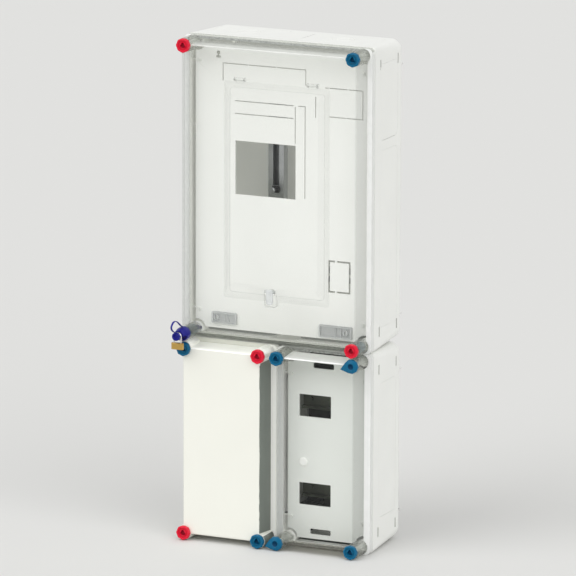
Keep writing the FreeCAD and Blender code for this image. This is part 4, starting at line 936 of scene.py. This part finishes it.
@dataclass
class Locks:
    """The twelve quarter-turn locks and the padlock.

    Each plain lock keeps its shaft and wings and gets a modelled head, whose sunk ring and socket take
    painted shade, darker copies of its colour, and whose shaft is pale. The lock with the hood stays as it is.
    """

    finishes: dict[str, Finish] = field(default_factory=lambda: {
        "upper_top_left": Finish.RED_LOCK, "upper_top_right": Finish.BLUE_LOCK,
        "upper_bottom_right": Finish.RED_LOCK,
        "lower_left_top_left": Finish.BLUE_LOCK, "lower_left_top_right": Finish.RED_LOCK,
        "lower_left_bottom_left": Finish.RED_LOCK, "lower_left_bottom_right": Finish.BLUE_LOCK,
        "lower_right_top_left": Finish.BLUE_LOCK, "lower_right_top_right": Finish.BLUE_LOCK,
        "lower_right_bottom_left": Finish.BLUE_LOCK, "lower_right_bottom_right": Finish.BLUE_LOCK,
    })
    shades: dict[Finish, tuple[Finish, Finish]] = field(default_factory=lambda: {
        Finish.RED_LOCK: (Finish.RED_DISH_PAINTED_SHADE, Finish.RED_SOCKET_PAINTED_SHADE),
        Finish.BLUE_LOCK: (Finish.BLUE_DISH_PAINTED_SHADE, Finish.BLUE_SOCKET_PAINTED_SHADE),
    })
    pointers: tuple[str, ...] = ("lower_right_top_right", "lower_right_bottom_left")
    dish_radii: tuple[float, float] = (5.7, 9.4)
    socket_radius: float = 4.6
    front_from: float = 2.0
    shaft_to: float = -0.6
    trim_from: float = -0.05
    head_gap: float = 0.4
    pointer_sharp_deg: float = 20.0
    round_sharp_deg: float = 38.0

    def dress(self, place: str, finish: Finish, back: float) -> None:
        """Gives one lock a modelled head on the shaft of its node.

        Args:
            place: the box and corner.
            finish: its finish.
            back: the depth of the head's back face.
        """
        node = "lock_" + place
        mesh = merged_copy(node)
        points = np.empty(len(mesh.vertices) * 3)
        mesh.vertices.foreach_get("co", points)
        points = points.reshape(-1, 3) / MM
        shaft = points[-points[:, 1] < back - 1]
        x, z = (shaft.min(0) + shaft.max(0))[[0, 2]] / 2
        head = (PointerHead() if place in self.pointers else LockHead()).mesh(node + "_head", x, z, back)
        build = bmesh.new()
        build.from_mesh(mesh)
        limit = -(back + self.trim_from) * MM
        front_faces = [face for face in build.faces if all(vert.co.y < limit for vert in face.verts)]
        bmesh.ops.delete(build, geom=front_faces, context="FACES")
        build.from_mesh(head)
        build.to_mesh(mesh)
        build.free()
        for tone in (finish, *self.shades[finish], Finish.PALE_PIN):
            mesh.materials.append(tone.material())
        pointed = place in self.pointers
        middles = face_table(mesh)[0]
        ahead = -middles[:, 1] - back
        reach = np.hypot(middles[:, 0] - x, middles[:, 2] - z)
        dish = (reach > self.dish_radii[0]) & (reach < self.dish_radii[1]) & (not pointed)
        socket = reach < self.socket_radius
        front = ahead > self.front_from
        # The sunk ring and the socket take painted shade.
        index = np.select([ahead < self.shaft_to, front & dish, front & socket], [3, 1, 2], 0)
        mesh.polygons.foreach_set("material_index", index.astype(np.int32))
        smooth_by_angle(mesh, self.pointer_sharp_deg if pointed else self.round_sharp_deg)
        obj = place_piece(mesh, frame["nodes"][node]["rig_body"])
        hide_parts(node)

    def build(self) -> None:
        """Dresses the locks."""
        back = -node_box("lower_left_cover")[0][1] + self.head_gap
        for place, finish in self.finishes.items():
            self.dress(place, finish, back)
        for node in ("lock_upper_bottom_left", "sealing_strap"):
            smooth_copy(node, Finish.NAVY_LOCK, 0.2)
        smooth_copy("padlock_body", Finish.BRASS, 0.3)
        smooth_copy("padlock_shackle", Finish.CHROME)


@dataclass
class Studio:
    """The floor, the soft lamps, the world light and the camera of the photograph.

    Each lamp has a name, the direction in which it lies and its light as a share of white. The camera was
    solved from the corners of the boxes in the photograph.
    """

    camera_mm: tuple[float, float, float] = (4721.22, -10168.93, 2404.71)
    turn_deg: float = 25.116
    tilt_deg: float = 12.18
    roll_deg: float = 0.183
    focal_px: float = 6494.4
    lamps: tuple[tuple[str, tuple[float, float, float], float], ...] = (
        ("key", (-0.45, -0.65, 0.62), 0.36),
        ("fill", (0.70, -0.40, 0.60), 0.34),
        ("top", (0.0, -0.1, 1.0), 0.14))
    world_strength: float = 0.5
    softness_deg: float = 50.0
    floor_colour: Colour = srgb(219, 219, 217)
    floor_size_m: float = 80.0
    floor_gap_mm: float = 0.4
    far_m: float = 200.0

    def camera(self) -> None:
        """Stands the camera where the photograph was taken, looking along its own axis."""
        a, e, w = (math.radians(v) for v in (self.turn_deg, self.tilt_deg, self.roll_deg))
        ahead = Vector((-math.sin(a) * math.cos(e), math.cos(a) * math.cos(e), -math.sin(e)))
        right = Vector((math.cos(a), math.sin(a), 0.0))
        up = right.cross(ahead)
        right_rolled = math.cos(w) * right + math.sin(w) * up
        up_rolled = -math.sin(w) * right + math.cos(w) * up
        data = bpy.data.cameras.new("camera")
        data.sensor_fit = "HORIZONTAL"
        data.sensor_width = SENSOR_MM
        data.lens = self.focal_px / IMAGE_SIZE * SENSOR_MM
        data.clip_end = self.far_m
        camera = bpy.data.objects.new("camera", data)
        turn = Matrix((right_rolled, up_rolled, -ahead)).transposed().to_4x4()
        camera.matrix_world = Matrix.Translation(Vector(self.camera_mm) * MM) @ turn
        bpy.context.scene.collection.objects.link(camera)
        bpy.context.scene.camera = camera

    def sun(self, name: str, towards: Vector, strength: float) -> None:
        """Adds a very soft distant lamp, which lights the whole floor evenly.

        Args:
            name: the lamp's name.
            towards: the direction in which the lamp lies.
            strength: its light on a surface that faces it, as a share of white.
        """
        data = bpy.data.lights.new(name, "SUN")
        data.energy = strength * math.pi
        data.angle = math.radians(self.softness_deg)
        lamp = bpy.data.objects.new(name, data)
        lamp.matrix_world = towards.normalized().to_track_quat("Z", "Y").to_matrix().to_4x4()
        bpy.context.scene.collection.objects.link(lamp)

    def world(self) -> None:
        """An even white world light."""
        world = bpy.data.worlds.new("studio")
        world.use_nodes = True
        light = world.node_tree.nodes["Background"]
        light.inputs["Color"].default_value = (1.0, 1.0, 1.0, 1.0)
        light.inputs["Strength"].default_value = self.world_strength
        bpy.context.scene.world = world

    def floor(self) -> None:
        """A wide pale floor just under the cabinet."""
        low = CAD_BOX[0][2] - self.floor_gap_mm * MM
        half = self.floor_size_m / 2
        mesh = bpy.data.meshes.new("floor")
        corners = [(-half, -half, low), (half, -half, low), (half, half, low), (-half, half, low)]
        mesh.from_pydata(corners, [], [(0, 1, 2, 3)])
        graph = Graph("floor")
        paint = graph.add("BsdfDiffuse", Color=self.floor_colour)
        mesh.materials.append(graph.finish(paint.outputs["BSDF"]))
        floor = bpy.data.objects.new("floor", mesh)
        bpy.context.scene.collection.objects.link(floor)

    def build(self) -> None:
        """Sets up the studio."""
        bpy.context.scene.view_settings.view_transform = "Standard"
        self.world()
        self.floor()
        self.camera()
        for name, towards, strength in self.lamps:
            self.sun(name, Vector(towards), strength)


def main() -> None:
    """Builds every sub-assembly and the studio."""
    logging.basicConfig(level=logging.INFO, format="%(message)s")
    for part in (Boxes(), Inside(), Lids(), Locks(), Studio()):
        part.build()


if __name__ == "__main__":
    main()
